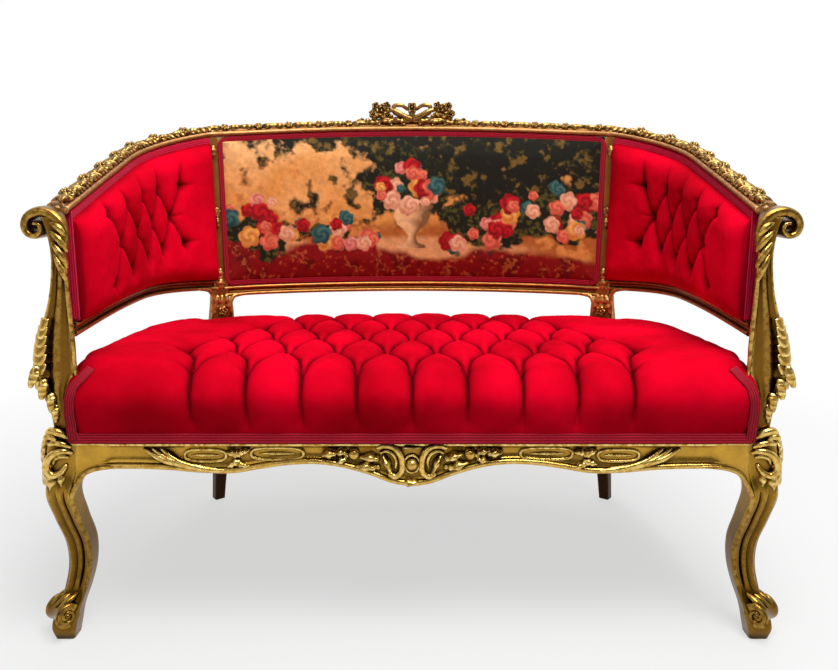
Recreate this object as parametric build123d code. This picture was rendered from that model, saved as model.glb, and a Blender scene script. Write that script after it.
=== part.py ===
from build123d import *

import math
import os

# A gilt show-wood settee: a horseshoe back over cabriole front legs, with a tufted seat, two tufted
# wings and a plain centre back. It is built round the plan of its seat edge. A place on that plan is
# a run, measured along the edge from the middle of the back, and an offset, measured outwards from it.

# Plan of the seat edge: a shallow back arc, two corner arcs and straight sides that splay forward
BACK_RADIUS = 1300.0
BACK_HALF_ANGLE = 16.0
CORNER_RADIUS = 272.0
SIDE_SPLAY = 3.0
SIDE_LENGTH = 309.0
STILE_RUN = 458.0

# Heights above the floor
RAIL_BOTTOM = 285.0
RAIL_TOP = 340.0
SEAT_LEVEL = 437.0
SEAT_CROWN = 458.0
LOWER_BACK_HEIGHT = 492.0
LOWER_WING_HEIGHT = 508.0
STILE_TOP = 860.0
CREST_RISE = 18.0
ARM_END_RISE = 12.0
SCROLL_HEIGHT = 700.0

# Frame sections
LEG_BLOCK = 62.0
RAIL_THICKNESS = 38.0
FRONT_REVEAL = 4.0
SIDE_RAIL_IN = 20.0
SIDE_RAIL_OUT = 14.0
POST_WIDTH = 46.0
POST_DEPTH = 44.0
STILE_WIDTH = 30.0
STILE_DEPTH = 30.0
TOP_RAIL_HEIGHT = 18.0
TOP_RAIL_IN = 16.0
TOP_RAIL_OUT = 20.0
LOWER_RAIL_RISE = 24.0
LOWER_RAIL_IN = 12.0
LOWER_RAIL_OUT = 13.5
LOWER_WING_ARCH = 14.0
BACK_LEAN = 0.0963
ARM_LEAN_SHARE = 0.4
ARM_DROP_POWER = 1.15
SCROLL_RADIUS = 29.0
SCROLL_PROUD = 5.0
SCROLL_OUT = 20.0
SCROLL_EYE = 10.0
TOE_RADIUS = 19.0
TOE_OUT = 17.0
TOE_HEIGHT = 46.0
BACK_FOOT_SIZE = 26.0
BACK_FOOT_SPLAY = 40.0

# Inner framing
CROSS_RAIL_WIDTH = 50.0
BLOCK_HEIGHT = 24.0
BLOCK_DROP = 4.0
FRONT_BLOCK_REACH = 80.0
BACK_BLOCK_RUN = 120.0
DOWEL_DIAMETER = 10.0
DOWEL_LENGTH = 40.0
DOWEL_FIT = 0.1
SCREW_DIAMETER = 5.0
SCREW_BITE = 22.0
SCREW_HEAD = 10.0
SCREW_HEAD_RISE = 3.0
SCREW_FIT = 0.15

# Seat upholstery
WEBBING_WIDTH = 50.0
WEBBING_PITCH = 66.0
WEBBING_THICKNESS = 2.0
HESSIAN_THICKNESS = 1.2
SEAT_OVERHANG = 5.0
SEAT_EDGE_OUT = 4.0
SEAT_SIDE_IN = 15.0
TUFT_PITCH = 94.0
ROW_FIRST = 120.0
ROW_PITCH = 105.0
TUFT_DEPTH = 22.0
PILLOW_SWELL = 7.0
FRONT_BELLY = 8.0
SHOULDER_IN = 30.0
SHOULDER_DROP = 26.0
SIDE_FALL = 26.0
SEAT_FOAM_IN = 30.0
SEAT_FOAM_HEIGHT = 45.0
DUST_COVER_THICKNESS = 1.5
BUTTON_RADIUS = 7.0
BUTTON_TIP = 0.3
BUTTON_CONE = 9.5
BUTTON_DOME = 3.5
GIMP_WIDTH = 14.0
GIMP_THICKNESS = 3.0

# Back upholstery
PAD_BACK_OUT = 7.0
PAD_EDGE_DEPTH = 12.0
WING_PILLOW_DEPTH = 46.0
WING_TUFT_DEPTH = 20.0
WING_TUFT_PITCH = 80.0
WING_ROW_PITCH = 62.0
WING_SWELL = 4.0
WING_BORDER = 56.0
PAD_FOAM_IN = 22.0
PAD_FOAM_DEPTH = 8.0
BACK_CROWN_DEPTH = 34.0
CENTRE_SECTIONS = 21
BACK_SWELL = 5.0
BACK_WEBBING_THICKNESS = 1.5
OUTSIDE_OUT = 12.0
OUTSIDE_THICKNESS = 3.0
SHEET_SECTIONS = 13

# Carving
GARLAND_LOW = 7.0
GARLAND_HIGH = 12.0
GARLAND_BEAD = 20.0
CREST_ORNAMENT_HALF = 104.0
CREST_ORNAMENT_THICKNESS = 22.0
CARTOUCHE_WIDTH = 96.0
CARTOUCHE_HEIGHT = 62.0
CARVING_RELIEF = 7.0
CARVING_SINK = 6.0

# Clearances between soft pieces and their neighbours
SEAT_GAP = 0.3
NOTCH_GAP = 0.6
PAD_GAP = 2.0

# Plan, worked out from the sizes above, with the middle of the back edge at the origin
BACK_TURN = math.radians(BACK_HALF_ANGLE)
SIDE_TURN = math.radians(90.0 - SIDE_SPLAY)
BACK_RUN = BACK_RADIUS * BACK_TURN
CORNER_RUN = BACK_RUN + CORNER_RADIUS * (SIDE_TURN - BACK_TURN)
LEG_RUN = CORNER_RUN + SIDE_LENGTH
ARM_DROP = STILE_TOP - SCROLL_HEIGHT - ARM_END_RISE
CORNER_X = (BACK_RADIUS - CORNER_RADIUS) * math.sin(BACK_TURN)
CORNER_Y = (BACK_RADIUS - CORNER_RADIUS) * math.cos(BACK_TURN) - BACK_RADIUS
SIDE_X = CORNER_X + CORNER_RADIUS * math.sin(SIDE_TURN)
SIDE_Y = CORNER_Y + CORNER_RADIUS * math.cos(SIDE_TURN)


def plan_point(run, offset=0.0):
    """Point of the seat edge at a run, moved outwards by an offset, and the turn of its outward side."""
    along = abs(run)
    if along <= BACK_RUN:
        turn = along / BACK_RADIUS
        reach = BACK_RADIUS + offset
        point = (reach * math.sin(turn), reach * math.cos(turn) - BACK_RADIUS)
    elif along <= CORNER_RUN:
        turn = BACK_TURN + (along - BACK_RUN) / CORNER_RADIUS
        reach = CORNER_RADIUS + offset
        point = (CORNER_X + reach * math.sin(turn), CORNER_Y + reach * math.cos(turn))
    else:
        turn = SIDE_TURN
        forward = along - CORNER_RUN
        x = SIDE_X + forward * math.cos(turn) + offset * math.sin(turn)
        point = (x, SIDE_Y - forward * math.sin(turn) + offset * math.cos(turn))
    side = math.copysign(1.0, run)
    return side * point[0], point[1], side * turn


def plan_plane(run, offset, height):
    """Level plane at a place of the plan, with x along the edge and y outwards."""
    x, y, turn = plan_point(run, offset)
    return Plane(origin=(x, y, height), x_dir=(math.cos(turn), -math.sin(turn), 0), z_dir=(0, 0, 1))


def plan_edges(start, end, offset):
    """Lines and arcs of the seat edge between two runs, moved outwards by an offset."""
    joins = [join for join in (-CORNER_RUN, -BACK_RUN, BACK_RUN, CORNER_RUN) if start < join < end]
    runs = [start] + joins + [end]
    edges = []
    for first, last in zip(runs, runs[1:]):
        ends = [plan_point(run, offset)[:2] for run in (first, (first + last) / 2, last)]
        if abs(first + last) / 2 > CORNER_RUN:
            edges.append(Line(ends[0], ends[2]))
        else:
            edges.append(ThreePointArc(*ends))
    return edges


def plan_strip(start, end, inner, outer, bottom, top):
    """Upright strip between two offsets of the seat edge."""
    near = plan_edges(start, end, inner)
    far = plan_edges(start, end, outer)
    first = Line(plan_point(start, inner)[:2], plan_point(start, outer)[:2])
    last = Line(plan_point(end, inner)[:2], plan_point(end, outer)[:2])
    return Pos(0, 0, bottom) * extrude(make_face(near + [last] + far + [first]), top - bottom)


def lean(run, height):
    """How far the back leans outwards at a height, less at the arms than at the back."""
    forward = max(0.0, (abs(run) - STILE_RUN) / (LEG_RUN - STILE_RUN))
    return BACK_LEAN * (height - SEAT_LEVEL) * (1.0 - (1.0 - ARM_LEAN_SHARE) * forward)


def back_point(run, offset, height):
    """Point on the leaning back at a run, an offset from the leaning line and a height."""
    x, y, turn = plan_point(run, offset + lean(run, height))
    return Vector(x, y, height)


def top_underside(run):
    """Height of the underside of the crest rail and, forward of the stiles, of the falling arms."""
    share = abs(run) / STILE_RUN
    if share <= 1.0:
        return STILE_TOP + CREST_RISE * (1.0 - share ** 2)
    forward = (abs(run) - STILE_RUN) / (LEG_RUN - STILE_RUN)
    return STILE_TOP - ARM_DROP * forward ** ARM_DROP_POWER


def lower_underside(run):
    """Height of the underside of the lower rails, arched over each wing."""
    if abs(run) <= STILE_RUN:
        return LOWER_BACK_HEIGHT
    forward = (abs(run) - STILE_RUN) / (LEG_RUN - STILE_RUN)
    return LOWER_WING_HEIGHT + LOWER_WING_ARCH * math.sin(math.pi * forward)


def lower_top(run):
    """Height of the top of the lower rails, on which the pads stand."""
    return lower_underside(run) + LOWER_RAIL_RISE


def spread(start, end, count):
    """Evenly spaced values from start to end."""
    return [start + (end - start) * index / (count - 1) for index in range(count)]


def ring_face(place, corners, swells):
    """Flat face round a ring of corners; a swell bows that edge outwards into an arc."""
    edges = []
    for index, (a, b) in enumerate(corners):
        c, d = corners[(index + 1) % len(corners)]
        length = math.hypot(c - a, d - b)
        swell = swells[index] / length
        middle = ((a + c) / 2 + swell * (d - b), (b + d) / 2 - swell * (c - a))
        if swell:
            edges.append(Edge.make_three_point_arc(place(a, b), place(*middle), place(c, d)))
        else:
            edges.append(Edge.make_line(place(a, b), place(c, d)))
    return Face(Wire(edges))


def back_face(run, corners, swells):
    """Section across the leaning back at a run, from offsets and heights."""
    return ring_face(lambda offset, height: back_point(run, offset, height), corners, swells)


def both_sides(right):
    """A right-hand piece and its mirror image on the left."""
    return mirror(right, about=Plane.YZ), right


LEG_X, LEG_Y, LEG_TURN = plan_point(LEG_RUN)
LEG_TOP = RAIL_TOP
LEG_FRONT = LEG_Y - LEG_BLOCK / 2
RAIL_FRONT = LEG_FRONT + FRONT_REVEAL
RAIL_BACK = RAIL_FRONT + RAIL_THICKNESS
LEG_INNER = LEG_X - LEG_BLOCK / 2
SEAT_FRONT = LEG_FRONT - SEAT_OVERHANG
GIMP_MARGIN = GIMP_WIDTH + 2 * SEAT_GAP
BLOCK_TOP = RAIL_TOP - BLOCK_DROP
BLOCK_BOTTOM = BLOCK_TOP - BLOCK_HEIGHT
POST_CENTRE = (SIDE_RAIL_OUT - SIDE_RAIL_IN) / 2

parts = {}


# Front legs: a square block at the rails, a cabriole shin and a scrolled toe
LEG_STATIONS = [
    (1.0, LEG_BLOCK, 0.0),
    (0.9, 60.0, 10.0),
    (0.74, 50.0, 5.0),
    (0.56, 43.0, -7.0),
    (0.39, 38.0, -11.0),
    (0.28, 36.0, -7.0),
    (0.17, 38.0, 6.0),
    (0.07, 40.0, 9.0),
    (0.0, 38.0, 6.0),
]


def front_leg():
    """Right front leg, its shin bowed along the diagonal of the corner."""
    shin = []
    for share, size, out in LEG_STATIONS:
        place = Pos(LEG_X + out, LEG_Y - out, RAIL_BOTTOM * share)
        shin.append(place * RectangleRounded(size, size, size / 5))
    block = Pos(LEG_X, LEG_Y, (RAIL_BOTTOM + LEG_TOP) / 2) * Box(LEG_BLOCK, LEG_BLOCK, LEG_TOP - RAIL_BOTTOM)
    toe_place = Plane(origin=(LEG_X + TOE_OUT, LEG_Y - TOE_OUT, TOE_HEIGHT), z_dir=(1, 1, 0))
    toe = toe_place * Cylinder(TOE_RADIUS, LEG_STATIONS[-1][1])
    return loft(shin) + block + toe


# Arm posts: a swelling upright on each leg that curls outwards into a scroll
ARM_STATIONS = [
    (0.0, 20.0, 14.0),
    (0.13, 20.0, 13.0),
    (0.24, 27.0, 14.0),
    (0.31, 34.0, 16.0),
    (0.38, 37.0, 22.0),
    (0.47, 34.0, 25.0),
    (0.61, 22.0, 22.0),
    (0.78, 12.0, 20.0),
    (0.9, 12.0, 18.0),
    (1.0, 22.0, 16.0),
]
ARM_FRONT = 27.0
ARM_BACK = 21.0
SEAT_POST_INNER = 18.5


def arm_post():
    """Right arm post with its scroll, whose axis runs from front to back."""
    faces = []
    for share, outer, inner in ARM_STATIONS:
        height = LEG_TOP + (SCROLL_HEIGHT - LEG_TOP) * share
        width = outer + inner
        place = Pos(LEG_X + (outer - inner) / 2, LEG_Y + (ARM_BACK - ARM_FRONT) / 2, height)
        faces.append(place * RectangleRounded(width, ARM_FRONT + ARM_BACK, min(width, ARM_BACK) / 4))
    length = ARM_BACK + ARM_FRONT + SCROLL_PROUD
    scroll_back = Pos(LEG_X + SCROLL_OUT, LEG_Y + ARM_BACK, SCROLL_HEIGHT) * Rot(90, 0, 0)
    scroll = scroll_back * Pos(0, 0, length / 2) * Cylinder(SCROLL_RADIUS, length)
    eye = scroll_back * Pos(0, 0, (length + SCROLL_PROUD) / 2) * Cylinder(SCROLL_EYE, length + SCROLL_PROUD)
    return loft(faces) + scroll + eye


# Back posts: leg and stile in one piece, raked out at the foot and leaning back above the seat
def back_post():
    """Right back post from the floor to the underside of the top rails."""
    leg = [
        plan_plane(STILE_RUN, POST_CENTRE + BACK_FOOT_SPLAY, 0.0) * Rectangle(BACK_FOOT_SIZE, BACK_FOOT_SIZE),
        plan_plane(STILE_RUN, POST_CENTRE + BACK_FOOT_SPLAY * 0.4, RAIL_BOTTOM * 0.52)
        * Rectangle((BACK_FOOT_SIZE + POST_WIDTH) / 2, (BACK_FOOT_SIZE + POST_DEPTH) / 2),
        plan_plane(STILE_RUN, POST_CENTRE, RAIL_BOTTOM) * Rectangle(POST_WIDTH, POST_DEPTH),
    ]
    block_middle = plan_plane(STILE_RUN, POST_CENTRE, (RAIL_BOTTOM + RAIL_TOP) / 2)
    block = block_middle * Box(POST_WIDTH, POST_DEPTH, RAIL_TOP - RAIL_BOTTOM)
    flare_low = LOWER_BACK_HEIGHT - LOWER_RAIL_RISE / 2
    flare_high = LOWER_BACK_HEIGHT + LOWER_RAIL_RISE * 1.5
    stations = [
        (RAIL_TOP, POST_WIDTH, POST_DEPTH, POST_CENTRE),
        ((RAIL_TOP + SEAT_LEVEL) / 2, POST_WIDTH, STILE_DEPTH, 0.0),
        (SEAT_LEVEL, POST_WIDTH + 10.0, STILE_DEPTH, 0.0),
        (flare_low, POST_WIDTH - 8.0, STILE_DEPTH, lean(0, flare_low)),
        (flare_high, STILE_WIDTH, STILE_DEPTH, lean(0, flare_high)),
        (STILE_TOP, STILE_WIDTH, STILE_DEPTH, lean(0, STILE_TOP)),
    ]
    stile = []
    for height, width, depth, offset in stations:
        stile.append(plan_plane(STILE_RUN, offset, height) * Rectangle(width, depth))
    return loft(leg) + block + loft(stile, ruled=True)


# Front rail, with a serpentine lower edge that dips to a shell in the middle and to each knee
APRON_POINTS = [(0.0, 15.0), (0.11, 0.0), (0.28, -20.0), (0.57, -8.0), (0.76, -22.0), (1.0, 0.0)]


def front_rail():
    """Rail between the front leg blocks, cut to its wavy lower edge."""
    right = [(LEG_INNER * share, RAIL_BOTTOM - drop) for share, drop in APRON_POINTS]
    left = [(-x, z) for x, z in reversed(right[1:])]
    waves = [Spline([(x, z) for x, z in left + right])]
    ends = [
        Line(right[-1], (LEG_INNER, RAIL_TOP)),
        Line((LEG_INNER, RAIL_TOP), (-LEG_INNER, RAIL_TOP)),
        Line((-LEG_INNER, RAIL_TOP), left[0]),
    ]
    face = Plane(origin=(0, RAIL_BACK, 0), x_dir=(1, 0, 0), z_dir=(0, -1, 0)) * make_face(waves + ends)
    return extrude(face, RAIL_THICKNESS, dir=(0, -1, 0))


def top_rail(start, end, count):
    """Show-wood rail over the pads, moulded on its inner side, between two runs."""
    faces = []
    for run in spread(start, end, count):
        bottom = top_underside(run)
        top = bottom + TOP_RAIL_HEIGHT
        corners = [(-TOP_RAIL_IN, bottom), (TOP_RAIL_OUT, bottom), (TOP_RAIL_OUT, top), (-TOP_RAIL_IN, top)]
        faces.append(back_face(run, corners, [0, 1.0, 0, 3.0]))
    return loft(faces)


def lower_rail(start, end, count):
    """Show-wood rail under the pads between two runs."""
    faces = []
    for run in spread(start, end, count):
        bottom = lower_underside(run)
        top = bottom + LOWER_RAIL_RISE
        corners = [(-LOWER_RAIL_IN, bottom), (LOWER_RAIL_OUT, bottom),
                   (LOWER_RAIL_OUT, top), (-LOWER_RAIL_IN, top)]
        faces.append(back_face(run, corners, [0, 0.8, 0, 2.0]))
    return loft(faces)


def dowel(point, direction):
    """Dowel centred on the joint line, as the pin itself and as the hole it fits."""
    place = Plane(origin=point, z_dir=direction)
    pin = place * Cylinder(DOWEL_DIAMETER / 2, DOWEL_LENGTH)
    hole = place * Cylinder(DOWEL_DIAMETER / 2 + DOWEL_FIT, DOWEL_LENGTH + 2 * DOWEL_FIT)
    return pin, hole


def corner_screw(point, direction, length):
    """Screw driven through a corner block, with its head on the block's face, and the hole it fits."""
    place = Plane(origin=point, z_dir=direction)
    shank = place * Pos(0, 0, length / 2) * Cylinder(SCREW_DIAMETER / 2, length)
    head = place * Pos(0, 0, -SCREW_HEAD_RISE / 2) * Cylinder(SCREW_HEAD / 2, SCREW_HEAD_RISE)
    hole_length = length + SCREW_FIT
    hole = place * Pos(0, 0, hole_length / 2) * Cylinder(SCREW_DIAMETER / 2 + SCREW_FIT, hole_length)
    return shank + head, hole


def seat_back_edge(x):
    """Depth of the seat's back boundary at a place across it."""
    if abs(x) <= (BACK_RADIUS + SEAT_EDGE_OUT) * math.sin(BACK_TURN):
        return math.sqrt((BACK_RADIUS + SEAT_EDGE_OUT) ** 2 - x ** 2) - BACK_RADIUS
    return CORNER_Y + math.sqrt((CORNER_RADIUS + SEAT_EDGE_OUT) ** 2 - (abs(x) - CORNER_X) ** 2)


SEAT_HALF = LEG_X - SEAT_SIDE_IN
SEAT_BOTTOM = RAIL_TOP + WEBBING_THICKNESS + HESSIAN_THICKNESS + 3 * SEAT_GAP
HALF_PITCH = TUFT_PITCH / 2
TUFT_ROWS = [(ROW_FIRST, 8), (ROW_FIRST + ROW_PITCH, 9), (ROW_FIRST + 2 * ROW_PITCH, 8),
             (ROW_FIRST + 3 * ROW_PITCH, 7), (ROW_FIRST + 4 * ROW_PITCH, 6)]


def seat_height(x):
    """Height of the seat's pillows across it, falling towards the sides."""
    return SEAT_CROWN - SIDE_FALL * (abs(x) / SEAT_HALF) ** 4


def seat_face(x, column):
    """Section of the seat from front to back: belly, rows of pillows and tufts, and the back edge."""
    front = SEAT_FRONT
    back = seat_back_edge(x)
    reference = seat_back_edge(TUFT_ROWS[1][1] * HALF_PITCH) - front
    scale = min(1.0, (back - front) / reference)
    top = seat_height(x)
    shoulder = top - SHOULDER_DROP
    margin = SEAT_BOTTOM + GIMP_MARGIN
    corners = [(front, SEAT_BOTTOM), (back, SEAT_BOTTOM), (back, margin), (back, shoulder - SHOULDER_DROP)]
    swells = [0, 0, 1.0, PILLOW_SWELL]
    corners.append((back - SHOULDER_IN, shoulder + SHOULDER_DROP / 2))
    swells.append(PILLOW_SWELL / 2)
    for number, (distance, reach) in reversed(list(enumerate(TUFT_ROWS))):
        tufted = abs(column) <= reach and (column + number) % 2 == 0
        corners.append((front + distance * scale, top - (TUFT_DEPTH if tufted else 0.0)))
        swells.append(PILLOW_SWELL)
    corners.append((front + SHOULDER_IN, shoulder))
    swells.append(PILLOW_SWELL)
    corners.append((front - FRONT_BELLY, (margin + shoulder) / 2))
    swells.append(FRONT_BELLY / 2)
    corners.append((front, margin))
    swells.append(0)
    return ring_face(lambda y, z: Vector(x, y, z), corners, swells)


def seat_block():
    """Whole seat, from sections at every half tuft and three more at each side."""
    last = int((SEAT_HALF - SHOULDER_IN) / HALF_PITCH)
    columns = [(HALF_PITCH * column, column) for column in range(last + 1)]
    columns += [(SEAT_HALF - SHOULDER_IN * share, last + 1) for share in (0.6, 0.23, 0.0)]
    stations = [(-x, column) for x, column in reversed(columns[1:])] + columns
    return loft([seat_face(x, column) for x, column in stations], ruled=True)


def seat_notches(gap):
    """Room in the seat's corners for the arm posts and the back posts."""
    height = SEAT_CROWN
    wide = LEG_X
    deep = ARM_BACK + gap + LEG_Y - SEAT_FRONT + FRONT_BELLY * 2
    inner = LEG_X - SEAT_POST_INNER - gap
    front_place = Pos(inner + wide / 2, LEG_Y + ARM_BACK + gap - deep / 2, RAIL_TOP + height / 2)
    front = front_place * Box(wide, deep, height)
    size = POST_WIDTH + 10.0 + 2 * gap
    back = plan_plane(STILE_RUN, POST_CENTRE, RAIL_TOP + height / 2) * Box(size, POST_DEPTH + 2 * gap, height)
    return [front, mirror(front, about=Plane.YZ), back, mirror(back, about=Plane.YZ)]


def button():
    """Covered button: a dome over a blunt cone that fits its pit, with the cone's tip at the origin."""
    cone = Pos(0, 0, BUTTON_CONE / 2) * Cone(BUTTON_TIP, BUTTON_RADIUS, BUTTON_CONE)
    ball_radius = (BUTTON_RADIUS ** 2 + BUTTON_DOME ** 2) / (2 * BUTTON_DOME)
    ball = Pos(0, 0, BUTTON_CONE + BUTTON_DOME - ball_radius) * Sphere(ball_radius)
    slab = Pos(0, 0, BUTTON_CONE + BUTTON_DOME / 2) * Box(4 * BUTTON_RADIUS, 4 * BUTTON_RADIUS, BUTTON_DOME)
    return cone + (ball & slab)


def seat_buttons():
    """One button in the pit of every tuft of the seat."""
    solids = []
    for number, (distance, reach) in enumerate(TUFT_ROWS):
        for column in range(-reach, reach + 1):
            if (column + number) % 2 == 0:
                x = HALF_PITCH * column
                pit = seat_height(x) - TUFT_DEPTH
                solids.append(Pos(x, SEAT_FRONT + distance, pit + SEAT_GAP) * button())
    return solids


WING_START = STILE_RUN + STILE_WIDTH / 2 + PAD_GAP
WING_END = LEG_RUN - ARM_BACK - PAD_GAP
WING_MIDDLE = (WING_START + WING_END) / 2
WING_COLUMNS = int((WING_END - WING_START - 2 * WING_BORDER) / WING_TUFT_PITCH)
WING_ROWS = (1, 0, -1)


def wing_depths(run, column):
    """Depth of the wing's front at its rows of tufts, from the top row down."""
    if column is None:
        return [PAD_EDGE_DEPTH] * len(WING_ROWS)
    depths = []
    for number in range(len(WING_ROWS)):
        tufted = abs(column) <= WING_COLUMNS and (column + number) % 2 == 0
        depths.append(WING_TUFT_DEPTH if tufted else WING_PILLOW_DEPTH)
    return depths


def wing_face(run, column, back):
    """Section of a wing pad from the lower rail to the arm rail, with tufts and pillows between."""
    bottom = lower_top(run) + SEAT_GAP
    top = top_underside(run) - SEAT_GAP
    middle = (bottom + top) / 2
    edge = PAD_EDGE_DEPTH
    margin = GIMP_MARGIN
    bow = 0.0 if column is None else WING_SWELL
    corners = [(back, bottom), (back, top), (-edge, top), (-edge, top - margin)]
    swells = [0, 0, 0, 2 * bow]
    for row, depth in zip(WING_ROWS, wing_depths(run, column)):
        corners.append((-depth, middle + row * WING_ROW_PITCH))
        swells.append(bow)
    swells[-1] = 2 * bow
    corners += [(-edge, bottom + margin), (-edge, bottom)]
    swells += [0, 0]
    return back_face(run, corners, swells)


def wing_runs():
    """Runs of the wing's sections with their tuft columns; the margins have none."""
    half = WING_TUFT_PITCH / 2
    columns = range(-WING_COLUMNS - 1, WING_COLUMNS + 2)
    return [(WING_MIDDLE + column * half, column) for column in columns]


def wing_stations():
    """All sections of the wing, with the flat margins at its two ends."""
    ends = [(WING_START, None), (WING_START + GIMP_MARGIN / 2, None)]
    return ends + wing_runs() + [(WING_END - GIMP_MARGIN, None), (WING_END, None)]


def wing_block(back):
    """Right wing pad."""
    return loft([wing_face(run, column, back) for run, column in wing_stations()], ruled=True)


def wing_buttons():
    """One button in each pit of the right wing, pointing out of the pad."""
    solids = []
    for run, column in wing_runs():
        middle = (lower_top(run) + top_underside(run)) / 2
        depths = wing_depths(run, column)
        for row, depth in zip(WING_ROWS, depths):
            if depth == WING_TUFT_DEPTH:
                x, y, turn = plan_point(run)
                tip = back_point(run, -depth - SEAT_GAP, middle + row * WING_ROW_PITCH)
                place = Plane(origin=tip, z_dir=(-math.sin(turn), -math.cos(turn), 0))
                solids.append(place * button())
    return solids


BACK_END = STILE_RUN - STILE_WIDTH / 2 - PAD_GAP


def centre_face(run, crown, back):
    """Section of the centre back pad, a plain crown between flat margins for its gimp."""
    bottom = lower_top(run) + SEAT_GAP
    top = top_underside(run) - SEAT_GAP
    edge = PAD_EDGE_DEPTH
    margin = GIMP_MARGIN
    depth = edge + (BACK_CROWN_DEPTH - PAD_EDGE_DEPTH) * crown
    bow = BACK_SWELL * crown
    corners = [(back, bottom), (back, top), (-edge, top), (-edge, top - margin),
               (-depth, (top + bottom) / 2), (-edge, bottom + margin), (-edge, bottom)]
    return back_face(run, corners, [0, 0, 0, bow, bow, 0, 0])


def centre_stations():
    """Runs of the centre pad's sections, each with its share of the crown."""
    inner = BACK_END - GIMP_MARGIN
    middle = [(run, 1.0 - (run / inner) ** 4) for run in spread(-inner, inner, CENTRE_SECTIONS)]
    return [(-BACK_END, 0.0)] + middle + [(BACK_END, 0.0)]


def centre_block(back):
    """Centre back pad, with its crown rising from the margins to the middle."""
    return loft([centre_face(run, crown, back) for run, crown in centre_stations()], ruled=True)


def foam_slab(start, end, gap):
    """Foam slab inside a back pad, set in from its edges and grown by a gap."""
    inset = PAD_FOAM_IN - gap
    near = -PAD_FOAM_DEPTH - gap
    far = PAD_BACK_OUT - SEAT_GAP + gap
    faces = []
    for run in spread(start + inset, end - inset, SHEET_SECTIONS):
        bottom = lower_top(run) + inset
        top = top_underside(run) - inset
        faces.append(back_face(run, [(near, bottom), (far, bottom), (far, top), (near, top)], [0, 0, 0, 0]))
    return loft(faces)


def back_sheet(start, end, near, thickness):
    """Sheet in the plane of the back between two runs, from the lower rail to the top rail."""
    faces = []
    for run in spread(start, end, SHEET_SECTIONS):
        bottom = lower_top(run) + SEAT_GAP
        top = top_underside(run) - SEAT_GAP
        corners = [(near, bottom), (near + thickness, bottom), (near + thickness, top), (near, top)]
        faces.append(back_face(run, corners, [0, 0, 0, 0]))
    return loft(faces)


def gimp_band(runs, low, high):
    """Braid laid on a pad's flat margin, between two heights that follow the run."""
    near = -PAD_EDGE_DEPTH - SEAT_GAP
    faces = []
    for run in runs:
        corners = [(near - GIMP_THICKNESS, low(run)), (near, low(run)), (near, high(run)),
                   (near - GIMP_THICKNESS, high(run))]
        faces.append(back_face(run, corners, [0, 0, 0, 0]))
    return loft(faces, ruled=True)


def pad_top(run):
    """Height of the upper edge of a pad's margin."""
    return top_underside(run) - 2 * SEAT_GAP


def pad_bottom(run):
    """Height of the lower edge of a pad's margin."""
    return lower_top(run) + 2 * SEAT_GAP


def garland(start, end):
    """Beaded roll of leaves along the top of a rail between two runs."""
    count = 2 * int((end - start) / GARLAND_BEAD) + 1
    faces = []
    for index, run in enumerate(spread(start, end, count)):
        base = top_underside(run) + TOP_RAIL_HEIGHT + SEAT_GAP
        rise = GARLAND_HIGH if index % 2 else GARLAND_LOW
        inner = 3.0 - TOP_RAIL_IN
        outer = TOP_RAIL_OUT - 2.0
        faces.append(back_face(run, [(inner, base), (outer, base)], [0, rise]))
    return loft(faces, ruled=True)


def leaf(length, width):
    """Pointed leaf outline along x from the origin, between two arcs."""
    return make_face([
        ThreePointArc((0, 0), (length / 2, width / 2), (length, 0)),
        ThreePointArc((length, 0), (length / 2, -width / 2), (0, 0)),
    ])


def crest_ornament():
    """Bow of ribbon with a flower in its middle, standing on the crest rail between two sprays."""
    half = CREST_ORNAMENT_HALF
    base = top_underside(0) + TOP_RAIL_HEIGHT
    loop = Ellipse(half * 0.3, half * 0.15) - Ellipse(half * 0.19, half * 0.07)
    shape = Pos(0, half * 0.22) * Circle(half * 0.15)
    shape += Pos(0, half * 0.4) * (Ellipse(half * 0.16, half * 0.13) - Ellipse(half * 0.08, half * 0.06))
    shape += Rectangle(half * 1.3, half * 0.2)
    for side in (1, -1):
        shape += Pos(side * half * 0.34, half * 0.27) * Rot(0, 0, side * 12) * loop
        shape += Pos(side * half * 0.68, half * 0.1) * Circle(half * 0.14)
        shape += Pos(side * half * 0.5, 0) * Rot(0, 0, 90 - side * 90) * leaf(half * 0.5, half * 0.22)
    place = Plane(origin=back_point(0, 0, base) + Vector(0, CREST_ORNAMENT_THICKNESS / 2, 0),
                  x_dir=(1, 0, 0), z_dir=(0, -1, 0))
    return extrude(place * shape, CREST_ORNAMENT_THICKNESS, dir=(0, -1, 0))


def apron_plane(x, z):
    """Plane on the front rail's face, looking out of it."""
    return Plane(origin=(x, RAIL_FRONT, z), x_dir=(1, 0, 0), z_dir=(0, -1, 0))


def apron_cartouche():
    """Oval boss in a ring between two scrolls, in the middle of the front rail."""
    wide = CARTOUCHE_WIDTH / 2
    high = CARTOUCHE_HEIGHT / 2
    shape = Ellipse(wide * 0.5, high) - Ellipse(wide * 0.36, high * 0.75)
    for side in (1, -1):
        shape += Pos(side * wide * 0.7, 0) * (Circle(high * 0.55) - Circle(high * 0.3))
    middle = (RAIL_TOP + RAIL_BOTTOM - APRON_POINTS[0][1]) / 2
    ring = extrude(apron_plane(0, middle) * shape, CARVING_RELIEF, dir=(0, -1, 0))
    boss = extrude(apron_plane(0, middle) * Ellipse(wide * 0.3, high * 0.65), CARVING_RELIEF, dir=(0, -1, 0))
    return [ring, boss]


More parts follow.
